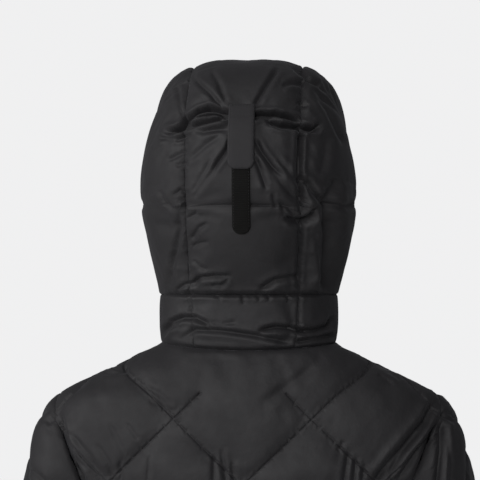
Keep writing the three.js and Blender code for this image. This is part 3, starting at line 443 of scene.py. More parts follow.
# %% Lines on a flat piece
def resample(points, spacing):
    """Points at an even distance along a line, its ends kept."""
    points = np.asarray(points, float)
    length = np.concatenate([[0], np.cumsum(np.linalg.norm(np.diff(points, axis=0), axis=1))])
    count = max(1, int(round(length[-1] / spacing)))
    at = np.linspace(0, length[-1], count + 1)
    return np.stack([np.interp(at, length, points[:, i]) for i in range(2)], axis=1)


def join_edges(edges, spacing):
    """A closed outline from edges given one after another."""
    return np.concatenate([resample(edge, spacing)[:-1] for edge in edges])


def line_distance(points, line, closed=False):
    """How far flat points are from a line, and how far along it they are, from 0 to 1."""
    line = np.asarray(line, float)
    ends = np.roll(line, -1, axis=0) if closed else line[1:]
    starts = line if closed else line[:-1]
    best = np.full(len(points), np.inf)
    place = np.zeros(len(points))
    piece = np.linalg.norm(ends - starts, axis=1)
    before = np.concatenate([[0], np.cumsum(piece)])
    for start, end, offset, size in zip(starts, ends, before, piece):
        along = end - start
        t = np.clip((points - start) @ along / max(along @ along, 1e-12), 0, 1)
        distance = np.linalg.norm(points - start - t[:, None] * along, axis=1)
        nearer = distance < best
        best = np.where(nearer, distance, best)
        place = np.where(nearer, (offset + t * size) / before[-1], place)
    return best, place


def line_reach(points, line, reach):
    """The same, but only for points near enough to matter. The others are endlessly far."""
    line = np.asarray(line, float)
    low, high = line.min(axis=0) - reach, line.max(axis=0) + reach
    some = np.all((points > low) & (points < high), axis=1)
    distance = np.full(len(points), np.inf)
    place = np.zeros(len(points))
    distance[some], place[some] = line_distance(points[some], line)
    return distance, place


def inside(points, outline):
    hit = np.zeros(len(points), bool)
    for a, b in zip(outline, np.roll(outline, 1, axis=0)):
        if a[1] == b[1]:
            continue
        crosses = (a[1] > points[:, 1]) != (b[1] > points[:, 1])
        hit ^= crosses & (points[:, 0] < (b[0] - a[0]) * (points[:, 1] - a[1]) / (b[1] - a[1]) + a[0])
    return hit


def near_any(points, others, reach):
    """Which points have one of the others within reach."""
    tree = KDTree(len(others))
    for i, (x, y) in enumerate(others):
        tree.insert((x, y, 0), i)
    tree.balance()
    return np.array([tree.find((x, y, 0))[2] < reach for x, y in points])


unit_square = np.array([[0, 0], [1, 0], [1, 1], [0, 1]], float)
print("the middle of a square is inside it:", bool(inside(np.array([[0.5, 0.5]]), unit_square)[0]))

# %% [markdown]
# Between the lines lies a fine lattice of points. Delaunay triangles join all of these, and every stitched
# line becomes a line of mesh edges. A grid could not follow a slanted seam, and a seam that wanders off
# its edges looks torn.

# %% Triangles of a flat piece
def lattice(outline, spacing):
    low, high = outline.min(axis=0), outline.max(axis=0)
    rows = np.arange(low[1], high[1], spacing * math.sqrt(3) / 2)
    columns = np.arange(low[0] - spacing, high[0] + spacing, spacing)
    grid = [np.stack([columns + (j % 2) * spacing / 2, np.full(len(columns), row)], axis=1)
            for j, row in enumerate(rows)]
    points = np.concatenate(grid)
    return points[inside(points, outline)]


def triangles_of(outline, lines, spacing):
    """Flat points, their triangles, which points are stitched, and where the outline's points went."""
    count = len(outline)
    sewn = [outline]
    for line in lines:
        points = resample(line, spacing)
        clear = inside(points, outline) & (line_distance(points, outline, closed=True)[0] > 0.4 * spacing)
        sewn.append(points[clear])
    fixed = np.concatenate(sewn)
    field = lattice(outline, spacing)
    field = field[~near_any(field, fixed, 0.62 * spacing)]
    points = [Vector(p) for p in np.concatenate([fixed, field])]
    edges = [(i, (i + 1) % count) for i in range(count)]
    first = count
    for line in sewn[1:]:
        gaps = np.linalg.norm(np.diff(line, axis=0), axis=1) if len(line) > 1 else []
        edges += [(first + i, first + i + 1) for i, gap in enumerate(gaps) if gap < 1.5 * spacing]
        first += len(line)
    flat, _, faces, source, _, _ = delaunay_2d_cdt(points, edges, [list(range(count))], 1, 0.02)
    flat = np.array([(p.x, p.y) for p in flat])
    stitched = np.array([any(k < len(fixed) for k in origin) or not origin for origin in source])
    loop = [0] * count
    for i, origin in enumerate(source):
        for k in origin:
            if k < count:
                loop[k] = i
    return flat, [list(face) for face in faces], stitched, loop


print("a unit square is cut into", len(triangles_of(unit_square, [], 0.5)[1]), "triangles")

# %% [markdown]
# ## Filling a piece
#
# The cut cloth is a little larger than the space between its seams. With its stitched points held and
# air blown behind it, it rises into cushions, and the spare cloth gathers into puckers beside the
# stitches. The Cloth modifier does this in some twenty steps. The result is kept as plain vertices.

# %% Cloth simulation
SCENE = bpy.context.scene
SIM_FRAMES = 22
SLACK_LEVELS = 8


def inflate(name, points, faces, held, pressure, surplus):
    """Where the points of a piece come to rest when it is filled. surplus is the spare cloth at each."""
    mesh = bpy.data.meshes.new(name + "_filling")
    mesh.from_pydata((points / 1000).tolist(), [], faces.tolist())
    work = bpy.data.objects.new(name + "_filling", mesh)
    SCENE.collection.objects.link(work)
    group = work.vertex_groups.new(name="stitched")
    group.add([int(i) for i in np.nonzero(held)[0]], 1.0, "REPLACE")
    slack = work.vertex_groups.new(name="slack")
    most = float(surplus.max())
    levels = np.round(SLACK_LEVELS * (1 - surplus / most)).astype(int)
    for level in range(SLACK_LEVELS + 1):
        chosen = np.nonzero(levels == level)[0]
        slack.add([int(i) for i in chosen], level / SLACK_LEVELS, "REPLACE")
    cloth = work.modifiers.new("down", "CLOTH")
    settings = cloth.settings
    settings.vertex_group_mass = "stitched"
    settings.quality = 5
    settings.mass = 0.15
    settings.tension_stiffness = 9
    settings.compression_stiffness = 9
    settings.shear_stiffness = 3.6
    settings.bending_stiffness = 0.012
    settings.tension_damping = 4
    settings.compression_damping = 4
    settings.shear_damping = 4
    settings.bending_damping = 0.4
    settings.air_damping = 3
    settings.use_pressure = True
    settings.uniform_pressure_force = pressure
    settings.use_pressure_volume = True
    settings.target_volume = 0
    settings.pressure_factor = 1
    settings.vertex_group_shrink = "slack"
    settings.shrink_min = -most
    settings.shrink_max = 0.0
    settings.effector_weights.gravity = 0
    cloth.collision_settings.use_collision = False
    cloth.collision_settings.use_self_collision = False
    cloth.point_cache.frame_start = 1
    cloth.point_cache.frame_end = SIM_FRAMES
    for step in range(1, SIM_FRAMES + 1):
        SCENE.frame_set(step)
    settled = work.evaluated_get(bpy.context.evaluated_depsgraph_get()).data
    result = np.empty(len(points) * 3, np.float32)
    settled.vertices.foreach_get("co", result)
    bpy.data.objects.remove(work)
    bpy.data.meshes.remove(mesh)
    SCENE.frame_set(1)
    return result.reshape(-1, 3).astype(float) * 1000


def normals_of(points, faces):
    """Vertex normals of triangles, as the mean of their faces."""
    triangle = np.array(faces)
    a, b, c = (points[triangle[:, i]] for i in range(3))
    face = np.cross(b - a, c - a)
    total = np.zeros_like(points)
    for i in range(3):
        np.add.at(total, triangle[:, i], face)
    return total / np.maximum(np.linalg.norm(total, axis=1), 1e-9)[:, None]


print("simulation runs for", SIM_FRAMES, "frames a piece")

# %% [markdown]
# ## Finer cloth where it bends most
#
# Beside a stitched line the cloth turns within two or three millimetres, and a crease is as narrow.
# Triangles there are split in four, or in two or three where the fine cloth meets the coarse. A new
# point next to a stitch is lifted, because a filled chamber rises steeply from its seam.

# %% Splitting triangles
FINEST = 1.15


def split_faces(corners, new):
    """Triangles after their marked edges are split. new holds each edge's new point, or -1."""
    count = (new >= 0).sum(axis=1)
    a, b, c = corners[count == 3].T
    ab, bc, ca = new[count == 3].T
    parts = [(a, ab, ca), (ab, b, bc), (ca, bc, c), (ab, bc, ca)]
    for turn in range(3):
        turned, mark = np.roll(corners, -turn, axis=1), np.roll(new, -turn, axis=1)
        one = (count == 1) & (mark[:, 0] >= 0)
        a, b, c = turned[one].T
        ab = mark[one, 0]
        parts += [(a, ab, c), (ab, b, c)]
        two = (count == 2) & (mark[:, 2] < 0)
        a, b, c = turned[two].T
        ab, bc = mark[two, :2].T
        parts += [(ab, b, bc), (a, ab, c), (ab, bc, c)]
    return np.concatenate([corners[count == 0]] + [np.stack(part, axis=1) for part in parts])


def refine(points, flat, faces, stitched, wanted, lift):
    """Split long edges whose two ends are wanted, apart from the outline's own edges."""
    size = len(points)
    sides = np.sort(np.stack([faces, np.roll(faces, -1, axis=1)], axis=2).reshape(-1, 2), axis=1)
    keys, which, uses = np.unique(sides[:, 0] * size + sides[:, 1], return_inverse=True, return_counts=True)
    a, b = keys // size, keys % size
    length = np.linalg.norm(points[a] - points[b], axis=1)
    chosen = (uses == 2) & wanted[a] & wanted[b] & (length > FINEST)
    new = np.full(len(keys), -1)
    new[chosen] = size + np.arange(chosen.sum())
    a, b = a[chosen], b[chosen]
    normal = normals_of(points, faces)
    across = normal[a] + normal[b]
    across /= np.maximum(np.linalg.norm(across, axis=1), 1e-9)[:, None]
    climb = np.abs(np.sum((points[b] - points[a]) * across, axis=1))
    one_sewn = stitched[a] != stitched[b]
    middle = (points[a] + points[b]) / 2 + across * (lift * climb * one_sewn)[:, None]
    points = np.concatenate([points, middle])
    flat = np.concatenate([flat, (flat[a] + flat[b]) / 2])
    stitched = np.concatenate([stitched, stitched[a] & stitched[b]])
    return points, flat, split_faces(faces, new[which].reshape(-1, 3)), stitched


print("no edge shorter than", FINEST, "mm is split")

# %% [markdown]
# ## Folds
#
# The larger folds are given one by one. Each one is a line as seen from behind, with a depth and a
# width, and it fades at both ends. The cloth beside the crease rises a little, as the spare cloth of
# a real crease has to go somewhere.

# %% Pressing folds in
FOLD_FADE = 0.2
FOLD_REACH = 6
BANK_HEIGHT = 0.4
BANK_PLACE = 2.3
BANK_WIDTH = 1.2
FACING_EASE = 0.3


def fold(depth, width, line):
    return {"depth": depth, "width": width, "line": line}


def near_folds(points, folds, widths):
    """Which points lie within so many widths of a fold."""
    flat = seen(points)
    near = np.zeros(len(points), bool)
    for crease in folds:
        reach = widths * crease["width"]
        near |= line_reach(flat, crease["line"], reach)[0] < reach
    return near


def crease_depth(points, folds):
    """How far in or out the folds move each point."""
    flat = seen(points)
    moved = np.zeros(len(points))
    for crease in folds:
        width = crease["width"]
        distance, place = line_reach(flat, crease["line"], FOLD_REACH * width)
        fade = smoothstep(place / FOLD_FADE) * smoothstep((1 - place) / FOLD_FADE)
        groove = np.exp(-(distance / width) ** 2)
        bank = BANK_HEIGHT * np.exp(-((distance - BANK_PLACE * width) / (BANK_WIDTH * width)) ** 2)
        moved += crease["depth"] * (bank - groove) * fade
    return moved


def press_folds(points, normals, folds, pinned):
    facing = smoothstep(-(normals @ view_forward) / FACING_EASE)
    moved = np.where(pinned, 0, crease_depth(points, folds) * facing)
    return points + normals * moved[:, None]


def press_level(points, folds):
    """Creases on a seam, pressed level. They go by place alone, so both pieces of the seam move alike."""
    outward = points * [1, 1, 0]
    outward /= np.maximum(np.linalg.norm(outward, axis=1), 1e-9)[:, None]
    facing = smoothstep(-(outward @ view_forward) / FACING_EASE)
    return points + outward * (crease_depth(points, folds) * facing)[:, None]


SEAM_CREASES = [
    fold(3.0, 2.4, [(-108, 60.5), (-60, 60), (0, 59.4), (60, 60), (108, 60.5)]),
    fold(2.6, 2.4, [(-104, 5), (-96, 2), (-66, -3.6), (-6, -6.8), (54, -4.4), (92, 1.2), (101, 5)]),
]
print(len(SEAM_CREASES), "creases lie on seams: under the hood and round the neck")

# %% [markdown]
# A quilting stitch draws the cloth down into a groove no wider than a few threads. The blown cushions
# meet there, but the simulation's triangles are too coarse to show it, so the groove is pressed into the
# finer cloth afterwards. `relax` does the opposite: it takes the small dents out of the cushions.

# %% Stitch grooves
GROOVE_REACH = 4
GROOVE_END = 5


def near_lines(flat, lines, reach):
    near = np.zeros(len(flat), bool)
    for line in lines:
        near |= line_reach(flat, line, reach)[0] < reach
    return near


def press_seams(flat, points, normals, lines, outline, depth, width):
    """A narrow groove along each quilting line, where the thread draws the cloth in."""
    distance = np.full(len(flat), np.inf)
    for line in lines:
        distance = np.minimum(distance, line_reach(flat, line, GROOVE_REACH * width)[0])
    near = distance < GROOVE_REACH * width
    edge = smoothstep(line_distance(flat[near], outline, closed=True)[0] / GROOVE_END)
    moved = np.zeros(len(flat))
    moved[near] = depth * np.exp(-(distance[near] / width) ** 2) * edge
    return points - normals * moved[:, None]


def relax(values, faces, free, passes):
    """Each free point moves half way to the mean of its neighbours, a few times over."""
    corners = np.array(faces)
    a, b = corners.ravel(), np.roll(corners, -1, axis=1).ravel()
    count = np.bincount(a, minlength=len(values)) + np.bincount(b, minlength=len(values))
    for _ in range(passes):
        total = np.zeros_like(values)
        np.add.at(total, a, values[b])
        np.add.at(total, b, values[a])
        mean = total / np.maximum(count, 1)[:, None]
        values = np.where(free[:, None], (values + mean) / 2, values)
    return values


print("grooves run along the stitching")

# %% [markdown]
# ## A closed wall
#
# A padded piece is shell, filling and lining together. Here it is one closed wall: the outer cloth, a
# plain lining turned over, and a rim between their outlines. The triangles come from the cloth and the
# lining, and bmesh merges the doubled points and turns all faces outwards.

# %% Closed walls
WELD_DISTANCE = 0.00002
SHELL = bpy.data.materials.new("shell_nylon")


def place_object(name, mesh, material, smooth=True):
    thing = bpy.data.objects.new(name, mesh)
    SCENE.collection.objects.link(thing)
    mesh.materials.append(material)
    mesh.polygons.foreach_set("use_smooth", [smooth] * len(mesh.polygons))
    return thing


def closed_mesh(name, points, faces):
    """A mesh from points in millimetres, its doubles merged and its faces turned outwards."""
    mesh = bpy.data.meshes.new(name)
    mesh.from_pydata((points / 1000).tolist(), [], faces)
    shape = bmesh.new()
    shape.from_mesh(mesh)
    bmesh.ops.remove_doubles(shape, verts=shape.verts, dist=WELD_DISTANCE)
    bmesh.ops.recalc_face_normals(shape, faces=shape.faces)
    shape.to_mesh(mesh)
    shape.free()
    print(name, len(mesh.polygons), "faces")
    return mesh


def close_wall(name, outer, faces, loop, inner, lining_faces, lining_loop, material):
    """Outer cloth, lining turned over, and a rim between their matching outlines."""
    count = len(outer)
    under = count + np.array(lining_loop)
    rim = np.stack([loop, np.roll(loop, -1), np.roll(under, -1), under], axis=1)
    points = np.concatenate([outer, inner])
    lining_faces = count + np.array(lining_faces)[:, ::-1]
    mesh = closed_mesh(name, points, faces.tolist() + lining_faces.tolist() + rim.tolist())
    return place_object(name, mesh, material)


def face_outward(base, faces):
    """Vertex normals that point away from the inside, and the faces turned to match them."""
    normal = normals_of(base, faces)
    if np.sum((base - base.mean(axis=0)) * normal) < 0:
        return [face[::-1] for face in faces], -normal
    return faces, normal


print("points closer than", round(WELD_DISTANCE * 1000, 3), "mm are merged")

# %% [markdown]
# Little of the lining is seen, inside the hood and at the hem, so it is plain, coarse and smooth. It lies
# as far under the seams as the pressed edges are thick. Its outline has the same points as the outer
# cloth's, which lets the rim join them.

# %% Lining
LINING_DEPTH = 4
LINING_COARSER = 4


def plain_lining(outline, place, mirror, spacing):
    flat, faces, _, loop = triangles_of(outline, [], LINING_COARSER * spacing)
    base = place(flat[:, 0], flat[:, 1]) * mirror
    faces, normal = face_outward(base, faces)
    return base - normal * LINING_DEPTH, faces, loop


print("the lining lies", LINING_DEPTH, "mm under the seams")

# %% [markdown]
# ## Before and after the air
#
# Down never fills two chambers alike, so the cloth starts with a small seeded unevenness and creases
# its own way everywhere. `seats` says how far each quilting line stands above the frame. After the
# filling the cloth may rise only so far and slide only a little, which keeps it on its own solid.

# %% Heights and limits
WAVES = 14
WAVE_REACH = 22
UNEVEN = 0.12
SLIDE_LIMIT = 7.0
SINK_LIMIT = 6.0


def unevenness(flat, seed):
    rng = np.random.default_rng(seed)
    total = np.zeros(len(flat))
    for _ in range(WAVES):
        wave = rng.normal(0, 1 / WAVE_REACH, 2)
        total += np.cos(flat @ wave + rng.uniform(0, 2 * math.pi)) / WAVES ** 0.5
    return total


def start_heights(flat, stitched, loop, lines, raise_of, spacing, seats, seed):
    """How far the cloth stands above the frame before it is filled."""
    rise = raise_of(flat[:, 0], flat[:, 1]) * (1 + UNEVEN * unevenness(flat, seed))
    height = np.where(stitched, 0, rise)
    for line, seat in zip(lines, np.broadcast_to(seats, len(lines))):
        near = stitched & (line_distance(flat, line)[0] < 0.3 * spacing)
        near[loop] = False
        height[near] = seat
    return height


def settle(base, shift, normal, most):
    """The filled cloth, with its rise eased towards a limit and its sliding cut short."""
    rise = np.sum(shift * normal, axis=1)
    slide = shift - normal * rise[:, None]
    slide *= np.minimum(1, SLIDE_LIMIT / np.maximum(np.linalg.norm(slide, axis=1), 1e-9))[:, None]
    rise = np.where(rise > 0, most * np.tanh(rise / most), np.maximum(rise, -SINK_LIMIT))
    return base + normal * rise[:, None] + slide


def weld_map(flat, outline):
    """For a sleeve: each point of the second underarm edge takes the place of its twin on the first."""
    high = outline[:, 0].max()
    left = {round(float(p[1]), 2): i for i, p in enumerate(flat) if p[0] < 1e-6}
    merged = np.arange(len(flat))
    for i, p in enumerate(flat):
        if p[0] > high - 1e-6:
            merged[i] = left.get(round(float(p[1]), 2), i)
    return merged


print("cloth slides at most", SLIDE_LIMIT, "mm")

# %% [markdown]
# Fine triangles are made in four rounds: beside the stitching, closer beside it, about the folds, and
# closer about them. `fine` leaves out what lies far down the coat or on its front, outside the picture.

# %% Making the cloth finer
BESIDE_STITCHES, BESIDE_LIFT = 1.3, 0.22
CLOSE_TO_STITCHES, CLOSE_LIFT = 3.0, 0.1
FOLD_WIDTHS = (3.2, 2.0)


def made_finer(outer, base, flat, faces, stitched, lines, spacing, folds, fine):
    if fine is not None:
        beside = near_any(flat, flat[stitched], BESIDE_STITCHES * spacing) & fine(base)
        outer, flat, faces, stitched = refine(outer, flat, faces, stitched, beside, BESIDE_LIFT)
        close = near_lines(flat, lines, CLOSE_TO_STITCHES) & fine(outer)
        outer, flat, faces, stitched = refine(outer, flat, faces, stitched, close, CLOSE_LIFT)
    if folds:
        for widths in FOLD_WIDTHS:
            near = near_folds(outer, folds + SEAM_CREASES, widths)
            outer, flat, faces, stitched = refine(outer, flat, faces, stitched, near, 0.0)
    return outer, flat, faces


print("folds are cut finer out to", FOLD_WIDTHS[0], "times their width")

# %% [markdown]
# ## One padded piece, start to end
#
# This is the order of the sewing room: cut, sew, fill, and only then wear, which adds the folds. `pin`
# names the outline points that no fold may move, because a second piece is sewn to them.

# %% Padded piece
SPARE_CLOTH = 0.045
RISE_LIMIT = 18.0


def wide_limit(u, w):
    return RISE_LIMIT + 0 * u


def padded_piece(name, outline, lines, place, raise_of, spacing, side=1, seed=1, pressure=6.0,
                 surplus=SPARE_CLOTH, limit=wide_limit, seats=0.0, folds=(), fine=None,
                 groove=(1.6, 1.3), calm=2, welded=False, pin=None):
    """side is 1 for a piece as drawn and -1 for its mirror image on the right of the garment."""
    mirror = [side, 1, 1]
    flat, faces, stitched, loop = triangles_of(outline, lines, spacing)
    base = place(flat[:, 0], flat[:, 1]) * mirror
    faces, normal = face_outward(base, faces)

    height = start_heights(flat, stitched, loop, lines, raise_of, spacing, seats, seed)
    merged = weld_map(flat, outline) if welded else np.arange(len(base))
    faces = merged[np.array(faces)]
    loose = surplus(flat[:, 1]) if callable(surplus) else np.full(len(flat), surplus)
    full = inflate(name, base + normal * height[:, None], faces, stitched, pressure, loose)[merged]
    shift = relax(full - base, faces, ~stitched, calm)[merged]
    outer = settle(base, shift, normal, limit(flat[:, 0], flat[:, 1]))

    outer, flat, faces = made_finer(outer, base, flat, faces, stitched, lines, spacing, folds, fine)
    smooth_normal = normals_of(place(flat[:, 0], flat[:, 1]) * mirror, faces)
    if fine is not None:
        outer = press_seams(flat, outer, smooth_normal, lines, outline[::4], *groove)
    pinned = np.zeros(len(flat), bool)
    if pin is not None:
        pinned[loop] = pin(*flat[loop].T)
    outer = press_level(press_folds(outer, smooth_normal, folds, pinned), SEAM_CREASES)
    return close_wall(name, outer, faces, loop, *plain_lining(outline, place, mirror, spacing), SHELL)


print("a padded piece is cut, filled, folded and lined")

# %% [markdown]
# ## Quilting of the body
#
# The body is stitched in regular diamonds, one row of corners on the centre back. A corner of the
# pattern lies between the shoulder blades, where the real coat shows it.

# %% Body quilting
DIAMOND_WIDE = 79
DIAMOND_HIGH = 75.5
DIAMOND_CORNER = -156


def diamond_lines(half_wide, half_high, corner_u, corner_w, low, high):
    """Slanted lines of a diamond lattice that cross a rectangle."""
    lines = []
    steps = int((high[0] - low[0]) / half_wide + (high[1] - low[1]) / half_high) + 4
    for k in range(-2 * steps, 2 * steps, 2):
        for lean in (1, -1):
            b_low = (low[1] - corner_w) / half_high
            b_high = (high[1] - corner_w) / half_high
            start = (corner_u + half_wide * (k - lean * b_low), low[1])
            end = (corner_u + half_wide * (k - lean * b_high), high[1])
            if max(start[0], end[0]) > low[0] and min(start[0], end[0]) < high[0]:
                lines.append(np.array([start, end]))
    return lines


def mound(a, b):
    """The height of a cushion: 0 on the stitched lines of its diamond, 1 in the middle."""
    return np.abs(np.sin(math.pi * (a + b) / 2) * np.sin(math.pi * (a - b) / 2)) ** 0.4


def edge_rise(distance, over):
    """Steep at a seam and level after so many millimetres."""
    return np.sin(math.pi / 2 * np.clip(distance / over, 0, 1)) ** 0.7


def body_edge(side, from_neck):
    """The outline of half a body piece, from the hem at the side seam up to the neck."""
    z = np.linspace(HEM, ARM_LOW, 80)
    side_seam = np.stack([girth(z, side), z], axis=1)
    turn = np.linspace(-90, 90, 60) if side > 0 else np.linspace(270, 90, 60)
    hole = armhole(turn)
    scye = np.stack([round_of(hole, side), hole[:, 2]], axis=1)
    scye[0] = side_seam[-1]
    z = np.linspace(ARM_TOP, NECK_SIDE, 50)
    shoulder = np.stack([girth(z, side), z], axis=1)
    scye[-1] = shoulder[0]
    angle = np.linspace(90, 0, 50) if side > 0 else np.linspace(90, from_neck, 50)
    ring = neck_ring(angle)
    neck = np.stack([round_of(ring, side), ring[:, 2]], axis=1)
    neck[0] = shoulder[-1]
    return side_seam, scye, shoulder, neck


print("a diamond is", 2 * DIAMOND_WIDE, "by", 2 * DIAMOND_HIGH, "mm")

# %% [markdown]
# ## The back
#
# The back is one piece from shoulder to shoulder. Its folds are the soft drag lines that the seams
# pull out of the cloth near the armholes and over the shoulder blades. They could be left to chance by
# giving the simulation gravity and a wearer, but then none would lie where the picture shows it.

# %% Folds of the back
BACK_FOLDS = [
    fold(7, 4, [(222, -60), (208, -88), (188, -112), (166, -138), (141, -170)]),
    fold(4.5, 3, [(217, -80), (202, -103), (184, -124), (160, -158)]),
    fold(5, 4, [(221, -84), (211, -118), (202, -148), (194, -182)]),
    fold(2.5, 3, [(215, -98), (196, -126), (173, -162)]),
    fold(6.5, 3.5, [(-225, -74), (-219, -106), (-211, -130), (-199, -153), (-188, -182)]),
    fold(2, 2.6, [(-217, -107), (-205, -130), (-190, -149)]),
    fold(1.5, 2.6, [(-214, -100), (-188, -130), (-176, -152)]),
    fold(1.8, 2.2, [(-169, -20), (-155, -27), (-140, -31)]),
    fold(1.8, 2.2, [(-173, -33), (-155, -33), (-142, -32)]),
    fold(1.8, 5, [(11, -72), (31, -58), (45, -48), (60, -37), (86, -18)]),
    fold(1.1, 3, [(-126, -48), (-105, -57), (-88, -73)]),
    fold(1, 2.6, [(-120, -64), (-101, -72), (-86, -80)]),
    fold(1.6, 2.6, [(-33, -120), (-30, -142), (-26, -166)]),
    fold(1.4, 2.6, [(-41, -126), (-42, -166)]),
    fold(1.5, 2.4, [(-20, -135), (-18, -169)]),
    fold(2, 2.6, [(118, -123), (114, -148), (110, -176)]),
    fold(1.8, 2.6, [(126, -130), (124, -166)]),
    fold(1.4, 2.6, [(137, -138), (131, -171)]),
    fold(1, 3, [(-166, -90), (-155, -112), (-144, -135)]),
    fold(1, 2.6, [(-145, -91), (-130, -113)]),
    fold(1.4, 3, [(-181, -114), (-166, -138), (-157, -166)]),
    fold(1.2, 2.4, [(-152, -133), (-150, -169)]),
    fold(1.2, 2.4, [(-117, -126), (-120, -166)]),
    fold(1.2, 2.6, [(104, -126), (113, -112)]),
    fold(1, 2.4, [(151, -33), (171, -48)]),
    fold(1, 2.4, [(160, -28), (181, -41)]),
]
print(len(BACK_FOLDS), "folds on the back")

# %% [markdown]
# The back is cut on the fold: the second half is the first half turned over, with the neck between them.

# %% Outline of the back
right_side = body_edge(1, 0)
left_side = [edge[::-1] * [-1, 1] for edge in right_side][::-1]
hem_line = np.array([[-right_side[0][0][0], HEM], [right_side[0][0][0], HEM]])
back_spacing = 4.2
back_outline = join_edges([*right_side, *left_side, hem_line], back_spacing)
print("the outline of the back has", len(back_outline), "points")

# %% [markdown]
# The height that a cushion starts with decides where the cloth bulges. Over the shoulder blades the
# cushions are flatter and their diamonds fan out. The hem is level, and so is the cloth under the collar.

# %% Cushions of the body
FAN, FAN_FROM, FAN_OVER = 0.15, -60, 50
PUFF, PUFF_LOSS, LOW_FROM, LOW_OVER = 8, 4, -260, 120
SEAM_OVER = 26
HEM_BAND, HEM_OVER = 24, 30
PLAIN_FROM, PLAIN_OVER = -58, 22
PLAIN_HALF, PLAIN_SIDE = 50, 26
LEAST_RISE = 0.2


def widening(w):
    """Over the shoulder blades the diamonds fan out towards the shoulder seams."""
    return 1 + FAN * smoothstep((w - FAN_FROM) / FAN_OVER)


def body_raise(outline, open_top):
    """Cushions, lower over the shoulder blades, level at the hem and plain under the collar."""
    def height(u, w):
        a = u / (DIAMOND_WIDE * (widening(w) if open_top else 1))
        b = (w - DIAMOND_CORNER) / DIAMOND_HIGH
        edge = edge_rise(line_distance(np.stack([u, w], axis=1), outline[::6], closed=True)[0], SEAM_OVER)
        hem = smoothstep((w - HEM - HEM_BAND) / HEM_OVER)
        puff = PUFF - PUFF_LOSS * smoothstep((w - LOW_FROM) / LOW_OVER)
        middle = 1 - smoothstep((np.abs(u) - PLAIN_HALF) / PLAIN_SIDE)
        plain = open_top * smoothstep((w - PLAIN_FROM) / PLAIN_OVER) * middle
        return puff * (mound(a, b) * (1 - plain) + plain) * edge * hem + LEAST_RISE

    return height


print("a cushion starts", PUFF, "mm high")

# %% [markdown]
# The stitching stops short under the collar. Each quilting line is laid out in short steps, and only its
# stitched runs are kept.

# %% Stitching of the back
STOP_HEIGHT, STOP_HALF = -50, 62
STOP_DIP, STOP_DIP_HALF = 0.25, 52
LINE_STEP = 12.0


def stop_below_collar(lines):
    """Quilting lines cut off where the real stitching ends, under the collar."""
    kept = []
    for line in lines:
        points = resample(line, 2.0)
        across = np.abs(points[:, 0])
        stop = STOP_HEIGHT - STOP_DIP * np.maximum(0, STOP_DIP_HALF - across)
        free = (points[:, 1] > stop) & (across < STOP_HALF)
        for run in np.split(np.arange(len(points)), np.nonzero(np.diff(free))[0] + 1):
            if not free[run[0]] and len(run) > 2:
                cut = resample(points[[run[0], run[-1]]], LINE_STEP)
                kept.append(cut * np.stack([widening(cut[:, 1]), np.ones(len(cut))], axis=1))
    return kept


back_lines = stop_below_collar(
    diamond_lines(DIAMOND_WIDE, DIAMOND_HIGH, 0, DIAMOND_CORNER, (-340, HEM), (340, 10)))
print(len(back_lines), "runs of stitching on the back")

# %% [markdown]
# The back is filled with less spare cloth above than below, because it lies tighter over the shoulder
# blades. Its neck edge is pinned, and only its upper part is cut fine.

# %% Back panel
SPARE_LOSS, SPARE_FROM, SPARE_OVER = 0.025, -150, 50
BACK_FINE_ABOVE = -190
BACK_PIN_ABOVE = -30


def back_spare(w):
    return SPARE_CLOTH - SPARE_LOSS * smoothstep((w - SPARE_FROM) / SPARE_OVER)


back = padded_piece(
    "back_cloth", back_outline, back_lines, lambda u, w: body_place(u, w, 1),
    body_raise(back_outline, 1), back_spacing, seed=3, pressure=5.0, folds=BACK_FOLDS, seats=2.6,
    surplus=back_spare, fine=lambda points: points[:, 2] > BACK_FINE_ABOVE, groove=(2.2, 1.4),
    pin=lambda u, w: w > BACK_PIN_ABOVE,
)

# %% [markdown]
# ## The fronts
#
# The two fronts meet at the zip. They lie outside the picture, so they are cut coarser and get no listed
# folds. Their quilting carries on round the body at the same heights as on the back.

# %% Fronts
front_spacing = 7.0
ZIP_EDGE = 5.0
ZIP_ANGLE = 177.2


def front_outline():
    side_seam, scye, shoulder, neck = body_edge(-1, ZIP_ANGLE)
    neck[-1] = [ZIP_EDGE, NECK_FRONT]
    edge = np.array([[ZIP_EDGE, NECK_FRONT], [ZIP_EDGE, HEM]])
    hem = np.array([[ZIP_EDGE, HEM], side_seam[0]])
    return join_edges([side_seam, scye, shoulder, neck, edge, hem], front_spacing)


front_loop = front_outline()
front_lines = diamond_lines(DIAMOND_WIDE, DIAMOND_HIGH, 0, DIAMOND_CORNER, (0, HEM), (360, 10))
fronts = [
    padded_piece(
        "front_" + word + "_cloth", front_loop, front_lines, lambda u, w: body_place(u, w, -1),
        body_raise(front_loop, 0), front_spacing, side=side, seed=5 + side,
    )
    for word, side in (("left", 1), ("right", -1))
]

# %% [markdown]
# ## The sleeves
#
# A sleeve is one piece, cut flat and sewn into a tube. Both long edges of the cut become one row of points
# before it is filled, so that the underarm seam can't open. The folds below the shoulder come from the arm
# hanging down, which pushes the cap together there.

# %% Sleeves
SLEEVE_FOLDS = [
    fold(3, 3, [(218, -76), (232, -84), (247, -92)]),
    fold(7, 4, [(227, -84), (227, -124), (221, -176)]),
    fold(2, 3, [(232, -97), (237, -136), (236, -171)]),
    fold(2, 3, [(-240, -94), (-228, -86), (-218, -83)]),
    fold(2, 3, [(-261, -145), (-249, -153), (-237, -164)]),
]
sleeve_spacing = 6.2
SLEEVE_WIDE = SLEEVE_ROUND / 6
SLEEVE_CORNER = -118
SLEEVE_PUFF, SLEEVE_LIMIT = 8, 14.0
SLEEVE_SEAM_OVER = 28
CUFF_BAND, CUFF_OVER = 22, 26
THIN_SHARE, THIN_OVER = 0.3, 60


